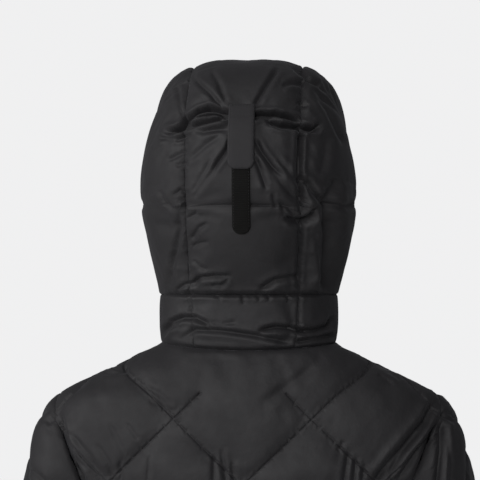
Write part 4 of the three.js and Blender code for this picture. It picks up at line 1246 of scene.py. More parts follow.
def sleeve_outline():
    """The cap at the low end of w, the cuff at the high end, the underarm seam on both sides."""
    angle = np.linspace(-90, 270, 140)
    v = np.interp(angle, ring_angles, ring_round)
    cap = np.stack([v, -cap_height(angle)], axis=1)
    start, end = cap[0], cap[-1]
    down = np.array([end, [SLEEVE_ROUND, ARM_LENGTH]])
    cuff = np.array([[SLEEVE_ROUND, ARM_LENGTH], [0, ARM_LENGTH]])
    up = np.array([[0, ARM_LENGTH], start])
    return join_edges([cap, down, cuff, up], sleeve_spacing)


sleeve_loop = sleeve_outline()
sleeve_lines = diamond_lines(
    SLEEVE_WIDE, DIAMOND_HIGH, SLEEVE_ROUND / 2, SLEEVE_CORNER, (0, -200), (SLEEVE_ROUND, ARM_LENGTH))


def sleeve_raise(v, w):
    a = (v - SLEEVE_ROUND / 2) / SLEEVE_WIDE
    b = (w - SLEEVE_CORNER) / DIAMOND_HIGH
    distance = line_distance(np.stack([v, w], axis=1), sleeve_loop[::4], closed=True)[0]
    cuff = smoothstep((ARM_LENGTH - CUFF_BAND - w) / CUFF_OVER)
    inner = THIN_SHARE + (1 - THIN_SHARE) * smoothstep(distance / THIN_OVER)
    return SLEEVE_PUFF * mound(a, b) * edge_rise(distance, SLEEVE_SEAM_OVER) * cuff * inner + LEAST_RISE


sleeves = [
    padded_piece(
        "sleeve_" + word + "_cloth", sleeve_loop, sleeve_lines, sleeve_place, sleeve_raise,
        sleeve_spacing, side=side, seed=9 + side, limit=lambda v, w: SLEEVE_LIMIT + 0 * v,
        folds=SLEEVE_FOLDS, welded=True,
    )
    for word, side in (("left", 1), ("right", -1))
]

# %% [markdown]
# ## The collar
#
# The standing collar has a short back piece and two long sides that reach round to the zip. It holds little
# filling, so its limit is low and its shape comes from creases. The deepest of them run level, where the
# collar is pushed down on the shoulders. Points on its long seams are pinned, so that no gap opens there.

# %% Folds of the collar
COLLAR_FOLDS = [
    fold(1.8, 2.2, [(-8, 65), (-6, 47)]),
    fold(1.5, 2.2, [(9, 64), (13, 51)]),
    fold(1.5, 2.2, [(22, 64), (24, 51)]),
    fold(1.6, 2.2, [(44, 64), (47, 50)]),
    fold(1.2, 2.4, [(-42, 61), (-31, 52)]),
    fold(1.2, 2.2, [(-70, 58), (-68, 39)]),
    fold(1.2, 2, [(60, 65), (59, 35), (58, 8)]),
    fold(4.2, 2.8, [(-106, 10), (-91, 27), (-79, 32), (-63, 32), (-51, 26), (-42, 18)]),
    fold(2, 2.4, [(-103, 9), (-93, 20), (-81, 25)]),
    fold(4, 2.8, [(-84, 6), (-63, 18), (-34, 17), (1, 12), (31, 7), (56, 0)]),
    fold(1.2, 2.6, [(-48, 28), (-32, 24), (-13, 28)]),
    fold(5.5, 3, [(8, 16), (31, 21), (48, 20), (72, 14)]),
    fold(5.5, 3, [(54, 16), (78, 17), (93, 22), (100, 36)]),
    fold(3.4, 3, [(50, 2), (84, 9), (106, 13)]),
]
print(len(COLLAR_FOLDS), "folds on the collar")

# %% [markdown]
# The collar is cut as level bands. Each band may swell by little more than a millimetre at its seams and
# by three in its middle, as thin filling does.

# %% Collar
collar_spacing = 3.4
COLLAR_SEAM_ANGLE = 34.62
COLLAR_PUFF = 1.5
COLLAR_SEAM_OVER = 16
COLLAR_LEAST, COLLAR_MORE = 1.2, 1.8
COLLAR_PRESSURE = 2.0


def band(first, last):
    low_u, high_u = math.radians(first) * COLLAR_RADIUS, math.radians(last) * COLLAR_RADIUS
    corners = np.array([[low_u, 0], [high_u, 0], [high_u, COLLAR_HEIGHT], [low_u, COLLAR_HEIGHT]])
    return join_edges([corners[[i, (i + 1) % 4]] for i in range(4)], collar_spacing)


def collar_raise(outline):
    def height(u, w):
        distance = line_distance(np.stack([u, w], axis=1), outline[::3], closed=True)[0]
        arch = COLLAR_PUFF * np.sin(math.pi * np.clip(w / COLLAR_HEIGHT, 0, 1)) ** 0.6
        return arch * edge_rise(distance, COLLAR_SEAM_OVER) + LEAST_RISE

    return height


def collar_limit(u, w):
    return COLLAR_LEAST + COLLAR_MORE * np.sin(math.pi * np.clip(w / COLLAR_HEIGHT, 0, 1))


def collar_seams(u, w):
    return (w < 1) | (w > COLLAR_HEIGHT - 1)


collar_back_loop = band(-COLLAR_SEAM_ANGLE, COLLAR_SEAM_ANGLE)
collar_side_loop = band(COLLAR_SEAM_ANGLE, ZIP_ANGLE)
collar_back = padded_piece(
    "collar_back_cloth", collar_back_loop, [], collar_place, collar_raise(collar_back_loop),
    collar_spacing, seed=21, limit=collar_limit, pressure=COLLAR_PRESSURE, folds=COLLAR_FOLDS,
    pin=collar_seams,
)
collar_sides = [
    padded_piece(
        "collar_" + word + "_cloth", collar_side_loop, [], collar_place, collar_raise(collar_side_loop),
        collar_spacing, side=side, seed=23 + side, limit=collar_limit, pressure=COLLAR_PRESSURE,
        folds=COLLAR_FOLDS, pin=collar_seams,
    )
    for word, side in (("left", 1), ("right", -1))
]

# %% [markdown]
# ## The hood
#
# The tab is sewn on above the middle of the hood, and pulls folds towards itself like rays. To its left and
# right the cloth folds down on itself, and these two dark creases are the strongest mark of the hood. The
# folds cross the seams between the panels, so all three panels share one list.

# %% Folds of the hood
HOOD_FOLDS = [
    fold(4, 6, [(-81, 253), (-70, 266), (-58, 276), (-47, 278), (-34, 275), (-16, 270)]),
    fold(9, 2.6, [(-81, 253), (-70, 266), (-58, 275), (-47, 278), (-34, 275), (-16, 269)]),
    fold(10, 2.8, [(-103, 250), (-88, 252), (-77, 255), (-66, 259), (-46, 264), (-18, 270)]),
    fold(2, 2.6, [(-70, 250), (-58, 254), (-42, 255), (-27, 257)]),
    fold(2.2, 3, [(-67, 255), (-54, 251), (-39, 253), (-22, 255)]),
    fold(9, 2.8, [(-6, 266), (15, 271), (31, 271), (48, 267), (64, 261)]),
    fold(9, 3, [(16, 269), (25, 263), (37, 259), (51, 257), (63, 256), (78, 254), (88, 264)]),
    fold(-3.5, 13, [(44, 258), (47, 230), (47, 205), (44, 178)]),
    fold(2, 2.6, [(-109, 244), (-91, 244), (-72, 245)]),
    fold(5, 3, [(60, 264), (59, 230), (57, 204), (60, 183), (63, 158)]),
    fold(2.8, 2.4, [(62, 156), (60, 118), (58, 88), (58, 60)]),
    fold(-3, 7, [(76, 158), (78, 110), (83, 60)]),
    fold(9, 7.5, [(90, 188), (94, 150), (94, 110), (92, 56)]),
    fold(3.4, 2.6, [(-68, 318), (-46, 297), (-32, 281), (-20, 269)]),
    fold(2.4, 3, [(-46, 327), (-35, 308), (-26, 280)]),
    fold(3, 2.8, [(36, 329), (22, 308), (12, 291), (4, 278)]),
    fold(4, 2.6, [(-19, 248), (-25, 232), (-37, 215), (-45, 203)]),
    fold(1.7, 3, [(-30, 251), (-51, 236), (-72, 218)]),
    fold(1.8, 2.6, [(-42, 222), (-55, 201), (-70, 177)]),
    fold(1.6, 2.8, [(-38, 210), (-52, 194), (-68, 171)]),
    fold(4, 2.8, [(5, 246), (15, 228), (27, 212), (43, 196)]),
    fold(2.2, 2.6, [(7, 223), (15, 202), (22, 181)]),
    fold(2, 3, [(22, 211), (41, 188), (60, 168)]),
    fold(1.7, 2.6, [(32, 221), (48, 202), (61, 186)]),
    fold(2.2, 2.6, [(31, 172), (46, 162), (57, 149)]),
    fold(1.5, 2.2, [(28, 181), (32, 160)]),
    fold(1.4, 2.2, [(38, 168), (42, 152)]),
    fold(6, 3.2, [(40, 152), (52, 147), (62, 146), (72, 152), (80, 162)]),
    fold(5, 3.6, [(57, 198), (70, 190), (79, 177), (88, 166)]),
    fold(4.5, 6, [(106, 199), (99, 183), (90, 168)]),
    fold(2.5, 3, [(84, 169), (96, 165), (113, 164), (129, 166)]),
    fold(3.5, 4, [(83, 166), (72, 152), (63, 144)]),
    fold(3.5, 5, [(73, 145), (81, 112), (86, 83), (87, 60)]),
    fold(3, 7, [(103, 145), (100, 106), (99, 65)]),
    fold(2.4, 5, [(94, 251), (91, 224), (85, 197)]),
    fold(2.5, 2.6, [(46, 333), (60, 321), (81, 308), (98, 293)]),
    fold(3, 3, [(79, 297), (93, 277), (103, 256), (114, 232)]),
    fold(2.4, 2.6, [(38, 306), (51, 309), (65, 307)]),
    fold(2, 2.4, [(64, 314), (74, 310), (86, 306)]),
    fold(1.8, 2.4, [(55, 287), (65, 282), (72, 284)]),
    fold(2.5, 3, [(-84, 163), (-81, 138), (-86, 112), (-91, 91), (-93, 63)]),
    fold(1.6, 2.2, [(-73, 149), (-60, 157)]),
    fold(2, 2.4, [(-68, 124), (-59, 138), (-47, 145)]),
    fold(1.6, 2.2, [(-68, 116), (-58, 120), (-46, 122)]),
    fold(1.4, 2.2, [(-67, 101), (-58, 92), (-48, 88)]),
    fold(1.8, 2.2, [(-71, 248), (-87, 240)]),
    fold(1.8, 2.4, [(-71, 229), (-84, 224), (-96, 217)]),
    fold(1.4, 2.2, [(-72, 215), (-87, 211)]),
    fold(2, 2.2, [(-71, 178), (-81, 183), (-90, 176)]),
    fold(1.5, 2.6, [(-106, 185), (-101, 171), (-93, 163), (-84, 158)]),
    fold(1.6, 5, [(-98, 287), (-110, 260), (-117, 228)]),
    fold(1.5, 2.4, [(-85, 310), (-81, 283), (-76, 266)]),
    fold(3.6, 2.6, [(-70, 68), (-58, 79), (-40, 81), (-18, 81)]),
    fold(2, 2.4, [(-22, 79), (-33, 70), (-45, 71)]),
    fold(4, 3, [(10, 64), (31, 76), (46, 79), (64, 84)]),
    fold(2, 2.4, [(-86, 63), (-76, 71), (-64, 74)]),
]
print(len(HOOD_FOLDS), "folds on the hood")

# %% [markdown]
# The middle panel runs from the nape over the head and is stitched across in three places. It is filled
# like a row of four cushions, which are lower where the hood leaves the collar and over the crown.

# %% Middle panel of the hood
hood_spacing = 3.5
HOOD_PUFF, HOOD_LIMIT = 7, 12.0
CROWN_LOSS, CROWN_FROM, CROWN_OVER = 0.45, 225, 60
NAPE_SHARE, NAPE_OVER = 0.22, 70
MIDDLE_SEAM_OVER = 30
CENTRE_QUILTING = [0, 110, 213, 337, 461]
QUILTING_HALF = 75


def crown(l):
    return 1 - CROWN_LOSS * smoothstep((l - CROWN_FROM) / CROWN_OVER)


def hood_limit(u, l):
    """The hood lies nearly flat where it leaves the collar, and again over the crown."""
    return HOOD_LIMIT * crown(l) * (NAPE_SHARE + (1 - NAPE_SHARE) * smoothstep(l / NAPE_OVER))


def hood_middle_outline():
    l = np.linspace(0, HOOD_LENGTH, 120)
    right = np.stack([hood_seam(l), l], axis=1)
    top = np.array([right[-1], right[-1] * [-1, 1]])
    left = right[::-1] * [-1, 1]
    bottom = np.array([left[-1], right[0]])
    return join_edges([right, top, left, bottom], hood_spacing)


hood_middle_loop = hood_middle_outline()
hood_middle_lines = [np.array([[-QUILTING_HALF, l], [QUILTING_HALF, l]]) for l in CENTRE_QUILTING[1:-1]]


def centre_raise(u, l):
    low = np.array(CENTRE_QUILTING)[np.clip(np.searchsorted(CENTRE_QUILTING, l, "right") - 1, 0, 3)]
    high = np.array(CENTRE_QUILTING)[np.clip(np.searchsorted(CENTRE_QUILTING, l, "right"), 1, 4)]
    share = np.clip((l - low) / (high - low), 0, 1)
    across = edge_rise(np.maximum(0, hood_seam(l) - np.abs(u)), MIDDLE_SEAM_OVER)
    return HOOD_PUFF * crown(l) * np.sin(math.pi * share) ** 0.5 * across + LEAST_RISE


hood_middle = padded_piece(
    "hood_center_cloth", hood_middle_loop, hood_middle_lines, hood_middle_place, centre_raise,
    hood_spacing, seed=31, limit=hood_limit, folds=HOOD_FOLDS, seats=(5, 0, 3),
    fine=lambda points: points[:, 1] > 0, pin=lambda u, l: l < 1,
)

# %% [markdown]
# ## The sides of the hood
#
# Each side panel goes from the middle panel to the face. One seam crosses it level, at the height of the seam
# in the middle, and one runs over the crown. The right side has a deep hollow, as the hood turns away there.

# %% Hood sides
SIDE_QUILTING = 278
SIDE_LEVEL = 166
LEVEL_ENDS = 262
SIDE_SEAM_OVER = 26
RIB_OVER = 32
LEDGE_PUFF, LEDGE_FULL = 8, 1.5


def hood_side_outline():
    l = np.linspace(0, HOOD_LENGTH, 120)
    face = np.stack([np.full(len(l), float(HOOD_SIDE_WIDTH)), l], axis=1)
    back_edge = np.stack([np.zeros(len(l)), l], axis=1)[::-1]
    bottom = np.array([back_edge[-1], face[0]])
    top = np.array([face[-1], back_edge[0]])
    return join_edges([bottom, face, top, back_edge], hood_spacing)


def level_line():
    """The seam at one height on a side panel, as a line on its pattern."""
    u = np.linspace(2, HOOD_SIDE_WIDTH - 2, 60)
    low, high = np.full(60, 20.0), np.full(60, 270.0)
    for _ in range(40):
        middle = (low + high) / 2
        above = hood_side_place(u, middle)[:, 2] > SIDE_LEVEL
        high = np.where(above, middle, high)
        low = np.where(above, low, middle)
    return np.stack([u, low], axis=1)


hood_side_loop = hood_side_outline()
level = level_line()
crown_line = np.array([[-5, SIDE_QUILTING], [HOOD_SIDE_WIDTH + 5, SIDE_QUILTING]])
hood_side_lines = [crown_line, level[level[:, 1] < LEVEL_ENDS]]


def side_raise(u, l):
    flat = np.stack([u, l], axis=1)
    edge = line_distance(flat, hood_side_loop[::4], closed=True)[0]
    height = HOOD_PUFF * crown(l) * edge_rise(edge, SIDE_SEAM_OVER)
    rib = edge_rise(line_distance(flat, hood_side_lines[0])[0], RIB_OVER)
    near_level = smoothstep(LEDGE_FULL - line_distance(flat, hood_side_lines[1])[0] / RIB_OVER)
    inner = edge_rise(np.minimum(u, HOOD_SIDE_WIDTH - u), SIDE_SEAM_OVER)
    return np.maximum(height * rib, LEDGE_PUFF * crown(l) * near_level * inner) + LEAST_RISE


hood_sides = [
    padded_piece(
        "hood_" + word + "_cloth", hood_side_loop, hood_side_lines, hood_side_place, side_raise,
        hood_spacing, side=side, seed=37 + side, limit=hood_limit, folds=HOOD_FOLDS, seats=(4, 9),
        fine=lambda points: points[:, 1] > 0, groove=(0.7, 1.3), pin=lambda u, l: l < 1,
    )
    for word, side in (("left", 1), ("right", -1))
]

# %% [markdown]
# ## The tab and the fastening strip
#
# A strap is a flat cut that lies on the finished hood. A ray from above finds how high the cushions
# stand under each part of it, and the strap rests on the highest of them, as stiff webbing would. A
# Shrinkwrap modifier would press it into every dent instead.

# %% The bed of a strap
RAY_HEIGHT = 40
BED_STEP = 3.0


def middle_normal(u, l):
    along = hood_middle_place(u, l + 0.5) - hood_middle_place(u, l - 0.5)
    across = hood_middle_place(u + 0.5, l) - hood_middle_place(u - 0.5, l)
    normal = np.cross(along, across)
    normal /= np.linalg.norm(normal, axis=1)[:, None]
    return normal * np.sign(np.sum(normal * (hood_middle_place(u, l) - [0, -10, 190]), axis=1))[:, None]


def height_over(thing, u, l):
    """How far a finished piece stands above the hood's own surface, in millimetres."""
    mesh = thing.data
    tree = BVHTree.FromPolygons([v.co[:] for v in mesh.vertices], [f.vertices[:] for f in mesh.polygons])
    base, normal = hood_middle_place(u, l), middle_normal(u, l)
    heights = []
    for point, up in zip(base, normal):
        hit = tree.ray_cast(Vector((point + RAY_HEIGHT * up) / 1000), Vector(-up), 1.5 * RAY_HEIGHT / 1000)
        heights.append(0.0 if hit[0] is None else RAY_HEIGHT - 1000 * hit[3])
    return np.array(heights)


def bed_under(things, start, end, half):
    """The height that a stiff strap of that width would rest at, along its length."""
    l = np.arange(start - 3 * BED_STEP, end + 3 * BED_STEP + 0.1, BED_STEP)
    u = np.linspace(-half, half, 9)
    grid_u, grid_l = (part.ravel() for part in np.meshgrid(u, l))
    high = np.max([height_over(thing, grid_u, grid_l) for thing in things], axis=0)
    high = high.reshape(len(l), -1).max(axis=1)
    reach = np.array([high[max(0, i - 3):i + 4].max() for i in range(len(l))])
    eased = np.convolve(np.pad(reach, 3, mode="edge"), np.ones(7) / 7, mode="valid")
    return lambda at: np.interp(at, l, eased)


print("a bed is measured every", BED_STEP, "mm")

# %% [markdown]
# Both straps are cut to one plan: straight sides, a square end that is sewn in, and a rounded free end.
# Their edges and seams are pressed down a little. The stitches are real small spindles, since a close
# view would show painted ones as flat.

# %% Cutting a strap
EDGE_DROP, EDGE_WIDTH = 0.5, 0.7
SEAM_DROP, SEAM_WIDTH = 0.35, 0.8
STRAP_SPACING = 1.5
STITCH_PITCH, STITCH_HALF, STITCH_SIDE, STITCH_HIGH = 3.2, 1.2, 0.28, 0.3


def strap_outline(start, end, half, corner):
    turn = np.linspace(0, math.pi / 2, 9)
    right = np.stack([half - corner + corner * np.sin(turn), start + corner - corner * np.cos(turn)], axis=1)
    left = right[::-1] * [-1, 1]
    top = np.array([[half, end], [-half, end]])
    edges = [right, [right[-1], top[0]], top, [top[1], left[0]], left]
    if left[-1][0] < right[0][0] - 0.1:
        edges.append([left[-1], right[0]])
    return join_edges(edges, STRAP_SPACING)


def strap(name, start, end, half, corner, thick, bed, sewn, material):
    outline = strap_outline(start, end, half, corner)
    flat, faces, _, loop = triangles_of(outline, sewn, STRAP_SPACING)
    edge = line_distance(flat, outline, closed=True)[0]
    seam = np.min([line_distance(flat, line)[0] for line in sewn], axis=0)
    height = bed(flat[:, 1]) + thick - EDGE_DROP * np.exp(-(edge / EDGE_WIDTH) ** 2)
    height -= SEAM_DROP * np.exp(-(seam / SEAM_WIDTH) ** 2)
    base, normal = hood_middle_place(*flat.T), middle_normal(*flat.T)
    outer = base + normal * height[:, None]
    faces = np.array(faces)
    if np.sum(normals_of(outer, faces) * normal) < 0:
        faces = faces[:, ::-1]
    inner = base + normal * bed(flat[:, 1])[:, None]
    return close_wall(name, outer, faces, loop, inner, faces, loop, material)


def strap_stitches(name, lines, height, material):
    """A row of short raised stitches along each line."""
    points, faces = [], []
    for line in lines:
        line = resample(line, STITCH_PITCH)
        for start, end in zip(line[:-1], line[1:]):
            along = (end - start) / np.linalg.norm(end - start)
            side = np.array([-along[1], along[0]])
            middle = (start + end) / 2
            spots = [middle - STITCH_HALF * along, middle + STITCH_HALF * along,
                     middle - STITCH_SIDE * side, middle + STITCH_SIDE * side, middle, middle]
            lifts = [0, 0, 0, 0, STITCH_HIGH, -STITCH_HIGH]
            first = len(points)
            for spot, lift in zip(spots, lifts):
                u, l = np.array([spot[0]]), np.array([spot[1]])
                points.append((hood_middle_place(u, l) + middle_normal(u, l) * (height(l) + lift))[0])
            for a, b in ((0, 2), (2, 1), (1, 3), (3, 0)):
                faces += [[first + a, first + b, first + 4], [first + b, first + a, first + 5]]
    mesh = bpy.data.meshes.new(name)
    mesh.from_pydata((np.array(points) / 1000).tolist(), [], faces)
    print(name, len(faces) // 8, "stitches")
    return place_object(name, mesh, material)


print("a stitch is", 2 * STITCH_HALF, "mm long")

# %% [markdown]
# The fastening strip lies on the hood and runs up under the tab. The tab lies on both, so its bed is
# measured after the strip is made. A row of stitches crosses the tab a second time below its sewn top.

# %% Strip and tab
TAB_HALF, TAB_FROM, TAB_TO = 14.2, 149, 222
STRIP_HALF, STRIP_FROM, STRIP_TO = 10, 78, 214
TAB_CLOTH = bpy.data.materials.new("tab_nylon")
LOOP_CLOTH = bpy.data.materials.new("loop_pile")

strip_bed = bed_under([hood_middle], STRIP_FROM, STRIP_TO, STRIP_HALF)
strip_sewn = [
    np.array([[-STRIP_HALF + 1.6, STRIP_FROM + 8], [-STRIP_HALF + 1.6, STRIP_TO - 2]]),
    np.array([[STRIP_HALF - 1.6, STRIP_FROM + 8], [STRIP_HALF - 1.6, STRIP_TO - 2]]),
]
strip = strap(
    "hook_and_loop_strip", STRIP_FROM, STRIP_TO, STRIP_HALF, 9.6, 1.2, strip_bed, strip_sewn, LOOP_CLOTH)
strip_thread = strap_stitches("strip_stitches", strip_sewn, lambda l: strip_bed(l) + 0.95, TAB_CLOTH)

tab_bed = bed_under([hood_middle, strip], TAB_FROM, TAB_TO, TAB_HALF)
tab_sewn = [
    np.array([[-TAB_HALF + 1.8, TAB_FROM + 9], [-TAB_HALF + 1.8, TAB_TO - 1.5]]),
    np.array([[TAB_HALF - 1.8, TAB_FROM + 9], [TAB_HALF - 1.8, TAB_TO - 1.5]]),
    np.array([[-TAB_HALF + 1.8, TAB_TO - 2.2], [TAB_HALF - 1.8, TAB_TO - 2.2]]),
    np.array([[-TAB_HALF + 1.8, TAB_TO - 15], [TAB_HALF - 1.8, TAB_TO - 15]]),
    np.array([[-TAB_HALF + 9, TAB_FROM + 1.8], [TAB_HALF - 9, TAB_FROM + 1.8]]),
]
tab = strap("hood_tab_cloth", TAB_FROM, TAB_TO, TAB_HALF, 8.5, 1.3, tab_bed, tab_sewn, TAB_CLOTH)
tab_thread = strap_stitches("tab_stitches", tab_sewn, lambda l: tab_bed(l) + 1.0, TAB_CLOTH)

# %% [markdown]
# ## The zip
#
# The zip runs down the front, where the picture does not show it. Its tapes and teeth follow one line,
# up the middle of the fronts, over the neck seam and up the collar. `on_zip` gives a place by the length
# along that line, the distance to its side, and the distance out of the cloth.

# %% The line of the zip
ZIP_LOW = HEM + 4
ZIP_BELOW_NECK = 12


def front_line():
    """Points down the middle of the front and the direction out of the cloth, from the hem up."""
    z = np.linspace(ZIP_LOW, NECK_FRONT - ZIP_BELOW_NECK, 31)
    body = np.stack([0 * z, -body_front(z), z], axis=1)
    neck = neck_ring([180.0])
    w = np.linspace(ZIP_BELOW_NECK, COLLAR_HEIGHT - 1, 5)
    collar = collar_place(np.full(5, math.pi * COLLAR_RADIUS - 1), w)
    line = np.concatenate([body, neck, collar]) * [0, 1, 1]
    along = np.gradient(line, axis=0)
    out = np.cross(along, [1.0, 0, 0])
    out /= np.linalg.norm(out, axis=1)[:, None]
    return line, out * np.sign(-out[:, 1:2])


zip_line, zip_out = front_line()
zip_along = np.concatenate([[0], np.cumsum(np.linalg.norm(np.diff(zip_line, axis=0), axis=1))])


def on_zip(at, across, out):
    place = np.stack([np.interp(at, zip_along, zip_line[:, i]) for i in range(3)], axis=-1)
    normal = np.stack([np.interp(at, zip_along, zip_out[:, i]) for i in range(3)], axis=-1)
    normal /= np.linalg.norm(normal, axis=-1)[..., None]
    return place + normal * np.asarray(out)[..., None] + np.asarray(across)[..., None] * np.array([1.0, 0, 0])


print("the zip is", round(float(zip_along[-1])), "mm long")

# %% [markdown]
# Two woven tapes lie just under the front edges. Each is a thin strip of five sides, carried along the
# line of the zip, that leans back where the front covers it.

# %% Zip tapes
TAPE_WIDTH, TAPE_TOP, TAPE_THICK, TAPE_LEAN = 13, -4.7, 0.9, 2.3
TAPE_GAP, CHAIN_HALF = 0.4, 3
TAPE_RINGS = 150
TAPE_CLOTH = bpy.data.materials.new("zip_tape_weave")


def tape(name, side):
    at = np.linspace(0, zip_along[-1], TAPE_RINGS)
    profile = [(TAPE_GAP, TAPE_TOP - TAPE_THICK), (TAPE_WIDTH, TAPE_TOP - TAPE_THICK - TAPE_LEAN),
               (TAPE_WIDTH, TAPE_TOP - TAPE_LEAN), (CHAIN_HALF, TAPE_TOP), (TAPE_GAP, TAPE_TOP)]
    corners = [on_zip(at, np.full(TAPE_RINGS, side * x), np.full(TAPE_RINGS, n)) for x, n in profile]
    size = len(profile)
    last = (TAPE_RINGS - 1) * size
    faces = [[i + j, i + (j + 1) % size, i + size + (j + 1) % size, i + size + j]
             for i in range(0, last, size) for j in range(size)]
    faces += [list(range(size)), list(range(last, last + size))]
    points = np.stack(corners, axis=1).reshape(-1, 3)
    return place_object(name, closed_mesh(name, points, faces), TAPE_CLOTH, smooth=False)


tapes = [tape("zip_tape_left_cloth", 1), tape("zip_tape_right_cloth", -1)]

# %% [markdown]
# Teeth stand on the tapes in turn from left and right. One tooth is a beveled box, and it is repeated
# along the line. The slider and its pull are the frame's own solids.

# %% Zip teeth
CHAIN_TOP = -0.6
TOOTH_PITCH = 3.4
TOOTH_WIDE, TOOTH_LONG, TOOTH_ROUND = 3.0, 1.25, 0.3
TOOTH_OVER = 0.9
FIRST_TOOTH, LAST_TOOTH = 4, 3
ZIP_METAL = bpy.data.materials.new("dark_zip_metal")


def teeth(name, side):
    one = bmesh.new()
    bmesh.ops.create_cube(one, size=1)
    bmesh.ops.scale(one, verts=one.verts, vec=(TOOTH_WIDE, TOOTH_LONG, CHAIN_TOP - TAPE_TOP))
    bmesh.ops.bevel(
        one, geom=one.edges[:], offset=TOOTH_ROUND, segments=1, affect="EDGES", profile=0.5, material=-1)
    shape = np.array([v.co[:] for v in one.verts])
    sides = [[v.index for v in f.verts] for f in one.faces]
    one.free()
    first = FIRST_TOOTH if side > 0 else FIRST_TOOTH + TOOTH_PITCH / 2
    starts = np.arange(first, zip_along[-1] - LAST_TOOTH, TOOTH_PITCH)
    at = starts[:, None] + shape[:, 1]
    across = side * TOOTH_OVER + 0 * at + shape[:, 0]
    out = (TAPE_TOP + CHAIN_TOP) / 2 + 0 * at + shape[:, 2]
    points = on_zip(at, across, out).reshape(-1, 3)
    faces = [[k * len(shape) + i for i in f] for k in range(len(starts)) for f in sides]
    print(name, len(starts), "teeth")
    return place_object(name, closed_mesh(name, points, faces), ZIP_METAL, smooth=False)


teeth_rows = [teeth("zip_teeth_left", 1), teeth("zip_teeth_right", -1)]

# %% [markdown]
# ## The shell cloth
#
# Cloth needs the same few nodes again and again: a noise, a bump that stands on another bump, and a
# noise spread between two values. Each gets a small function. They read Object coordinates, so a grain
# has one size on every piece.

# %% Material helpers
INNER_NOISE = (0.3, 0.7)


def nodes_of(material):
    material.use_nodes = True
    tree = material.node_tree
    return tree, tree.nodes["Principled BSDF"]


def noise(tree, scale, detail, roughness, coordinates):
    node = tree.nodes.new("ShaderNodeTexNoise")
    node.inputs["Scale"].default_value = scale
    node.inputs["Detail"].default_value = detail
    node.inputs["Roughness"].default_value = roughness
    tree.links.new(coordinates, node.inputs["Vector"])
    return node.outputs["Fac"]


def bump(tree, height, distance, strength, before=None):
    node = tree.nodes.new("ShaderNodeBump")
    node.inputs["Distance"].default_value = distance
    node.inputs["Strength"].default_value = strength
    tree.links.new(height, node.inputs["Height"])
    if before is not None:
        tree.links.new(before, node.inputs["Normal"])
    return node.outputs["Normal"]


def spread(tree, value, low, high):
    """Noise keeps mostly between its inner limits, which are spread here over the wanted range."""
    node = tree.nodes.new("ShaderNodeMapRange")
    node.inputs["From Min"].default_value = INNER_NOISE[0]
    node.inputs["From Max"].default_value = INNER_NOISE[1]
    node.inputs["To Min"].default_value = low
    node.inputs["To Max"].default_value = high
    tree.links.new(value, node.inputs["Value"])
    return node.outputs["Result"]


def object_place(tree):
    return tree.nodes.new("ShaderNodeTexCoord").outputs["Object"]


def two_tones(tree, shader, scale, place, dark, pale):
    """A base colour that wanders between two tones."""
    tone = tree.nodes.new("ShaderNodeMix")
    tone.data_type = "RGBA"
    tree.links.new(noise(tree, scale, 3, 0.6, place), tone.inputs["Factor"])
    tone.inputs["A"].default_value = (*dark, 1)
    tone.inputs["B"].default_value = (*pale, 1)
    tree.links.new(tone.outputs["Result"], shader.inputs["Base Color"])


print("noise is spread from", INNER_NOISE)

# %% [markdown]
# The shell is thin black nylon with a dull sheen. Three sizes of roughness make it: a woven grain too
# fine to see singly, small crumples of a few millimetres, and slow changes of tone and gloss over a
# hand's width. One even black would look like rubber.

# %% Shell nylon
SHELL_DARK = (0.0112, 0.0104, 0.0116)
SHELL_PALE = (0.0165, 0.0154, 0.0172)

shell_tree, shell_shader = nodes_of(SHELL)
shell_place = object_place(shell_tree)
two_tones(shell_tree, shell_shader, 9, shell_place, SHELL_DARK, SHELL_PALE)
shell_gloss = spread(shell_tree, noise(shell_tree, 24, 3, 0.6, shell_place), 0.6, 0.75)
shell_tree.links.new(shell_gloss, shell_shader.inputs["Roughness"])
shell_shader.inputs["Specular IOR Level"].default_value = 0.42
shell_shader.inputs["Sheen Weight"].default_value = 0.06
shell_shader.inputs["Sheen Roughness"].default_value = 0.45
shell_shader.inputs["Sheen Tint"].default_value = (0.75, 0.75, 0.8, 1)
crumple = bump(shell_tree, noise(shell_tree, 70, 4, 0.55, shell_place), 0.0011, 0.75)
weave = bump(shell_tree, noise(shell_tree, 900, 2, 0.5, shell_place), 0.0001, 0.5, crumple)
shell_tree.links.new(weave, shell_shader.inputs["Normal"])
print("shell has", len(shell_tree.nodes), "nodes")

# %% [markdown]
# ## The other cloths
#
# The tab is the same nylon, with a paler base colour. Zip tapes are a plain weave. The
# fastening strip has a short woolly pile in fine rows, which takes the light away.

# %% Tab, tape and pile
TAB_BLACK = (0.0172, 0.0162, 0.018)
TAPE_BLACK = (0.012, 0.012, 0.0125)
PILE_BLACK = (0.0076, 0.0073, 0.007)


def plain_cloth(material, color, rough, sheen, grain, depth):
    tree, shader = nodes_of(material)
    place = object_place(tree)
    two_tones(tree, shader, 60, place, [0.8 * c for c in color], [1.2 * c for c in color])
    shader.inputs["Roughness"].default_value = rough
    shader.inputs["Specular IOR Level"].default_value = 0.35
    shader.inputs["Sheen Weight"].default_value = sheen
    woven = bump(tree, noise(tree, grain, 2, 0.5, place), depth, 0.6)
    tree.links.new(woven, shader.inputs["Normal"])
    return tree, shader, place, woven


def pile_rows(tree, shader, place, woven):
    """Rows of pile across the strip, over its grain."""
    rows = tree.nodes.new("ShaderNodeTexWave")
    rows.bands_direction = "Z"
    rows.inputs["Scale"].default_value = 150
    rows.inputs["Distortion"].default_value = 3
    rows.inputs["Detail"].default_value = 2
    tree.links.new(place, rows.inputs["Vector"])
    tree.links.new(bump(tree, rows.outputs["Fac"], 0.0005, 0.7, woven), shader.inputs["Normal"])
    shader.inputs["Specular IOR Level"].default_value = 0.12


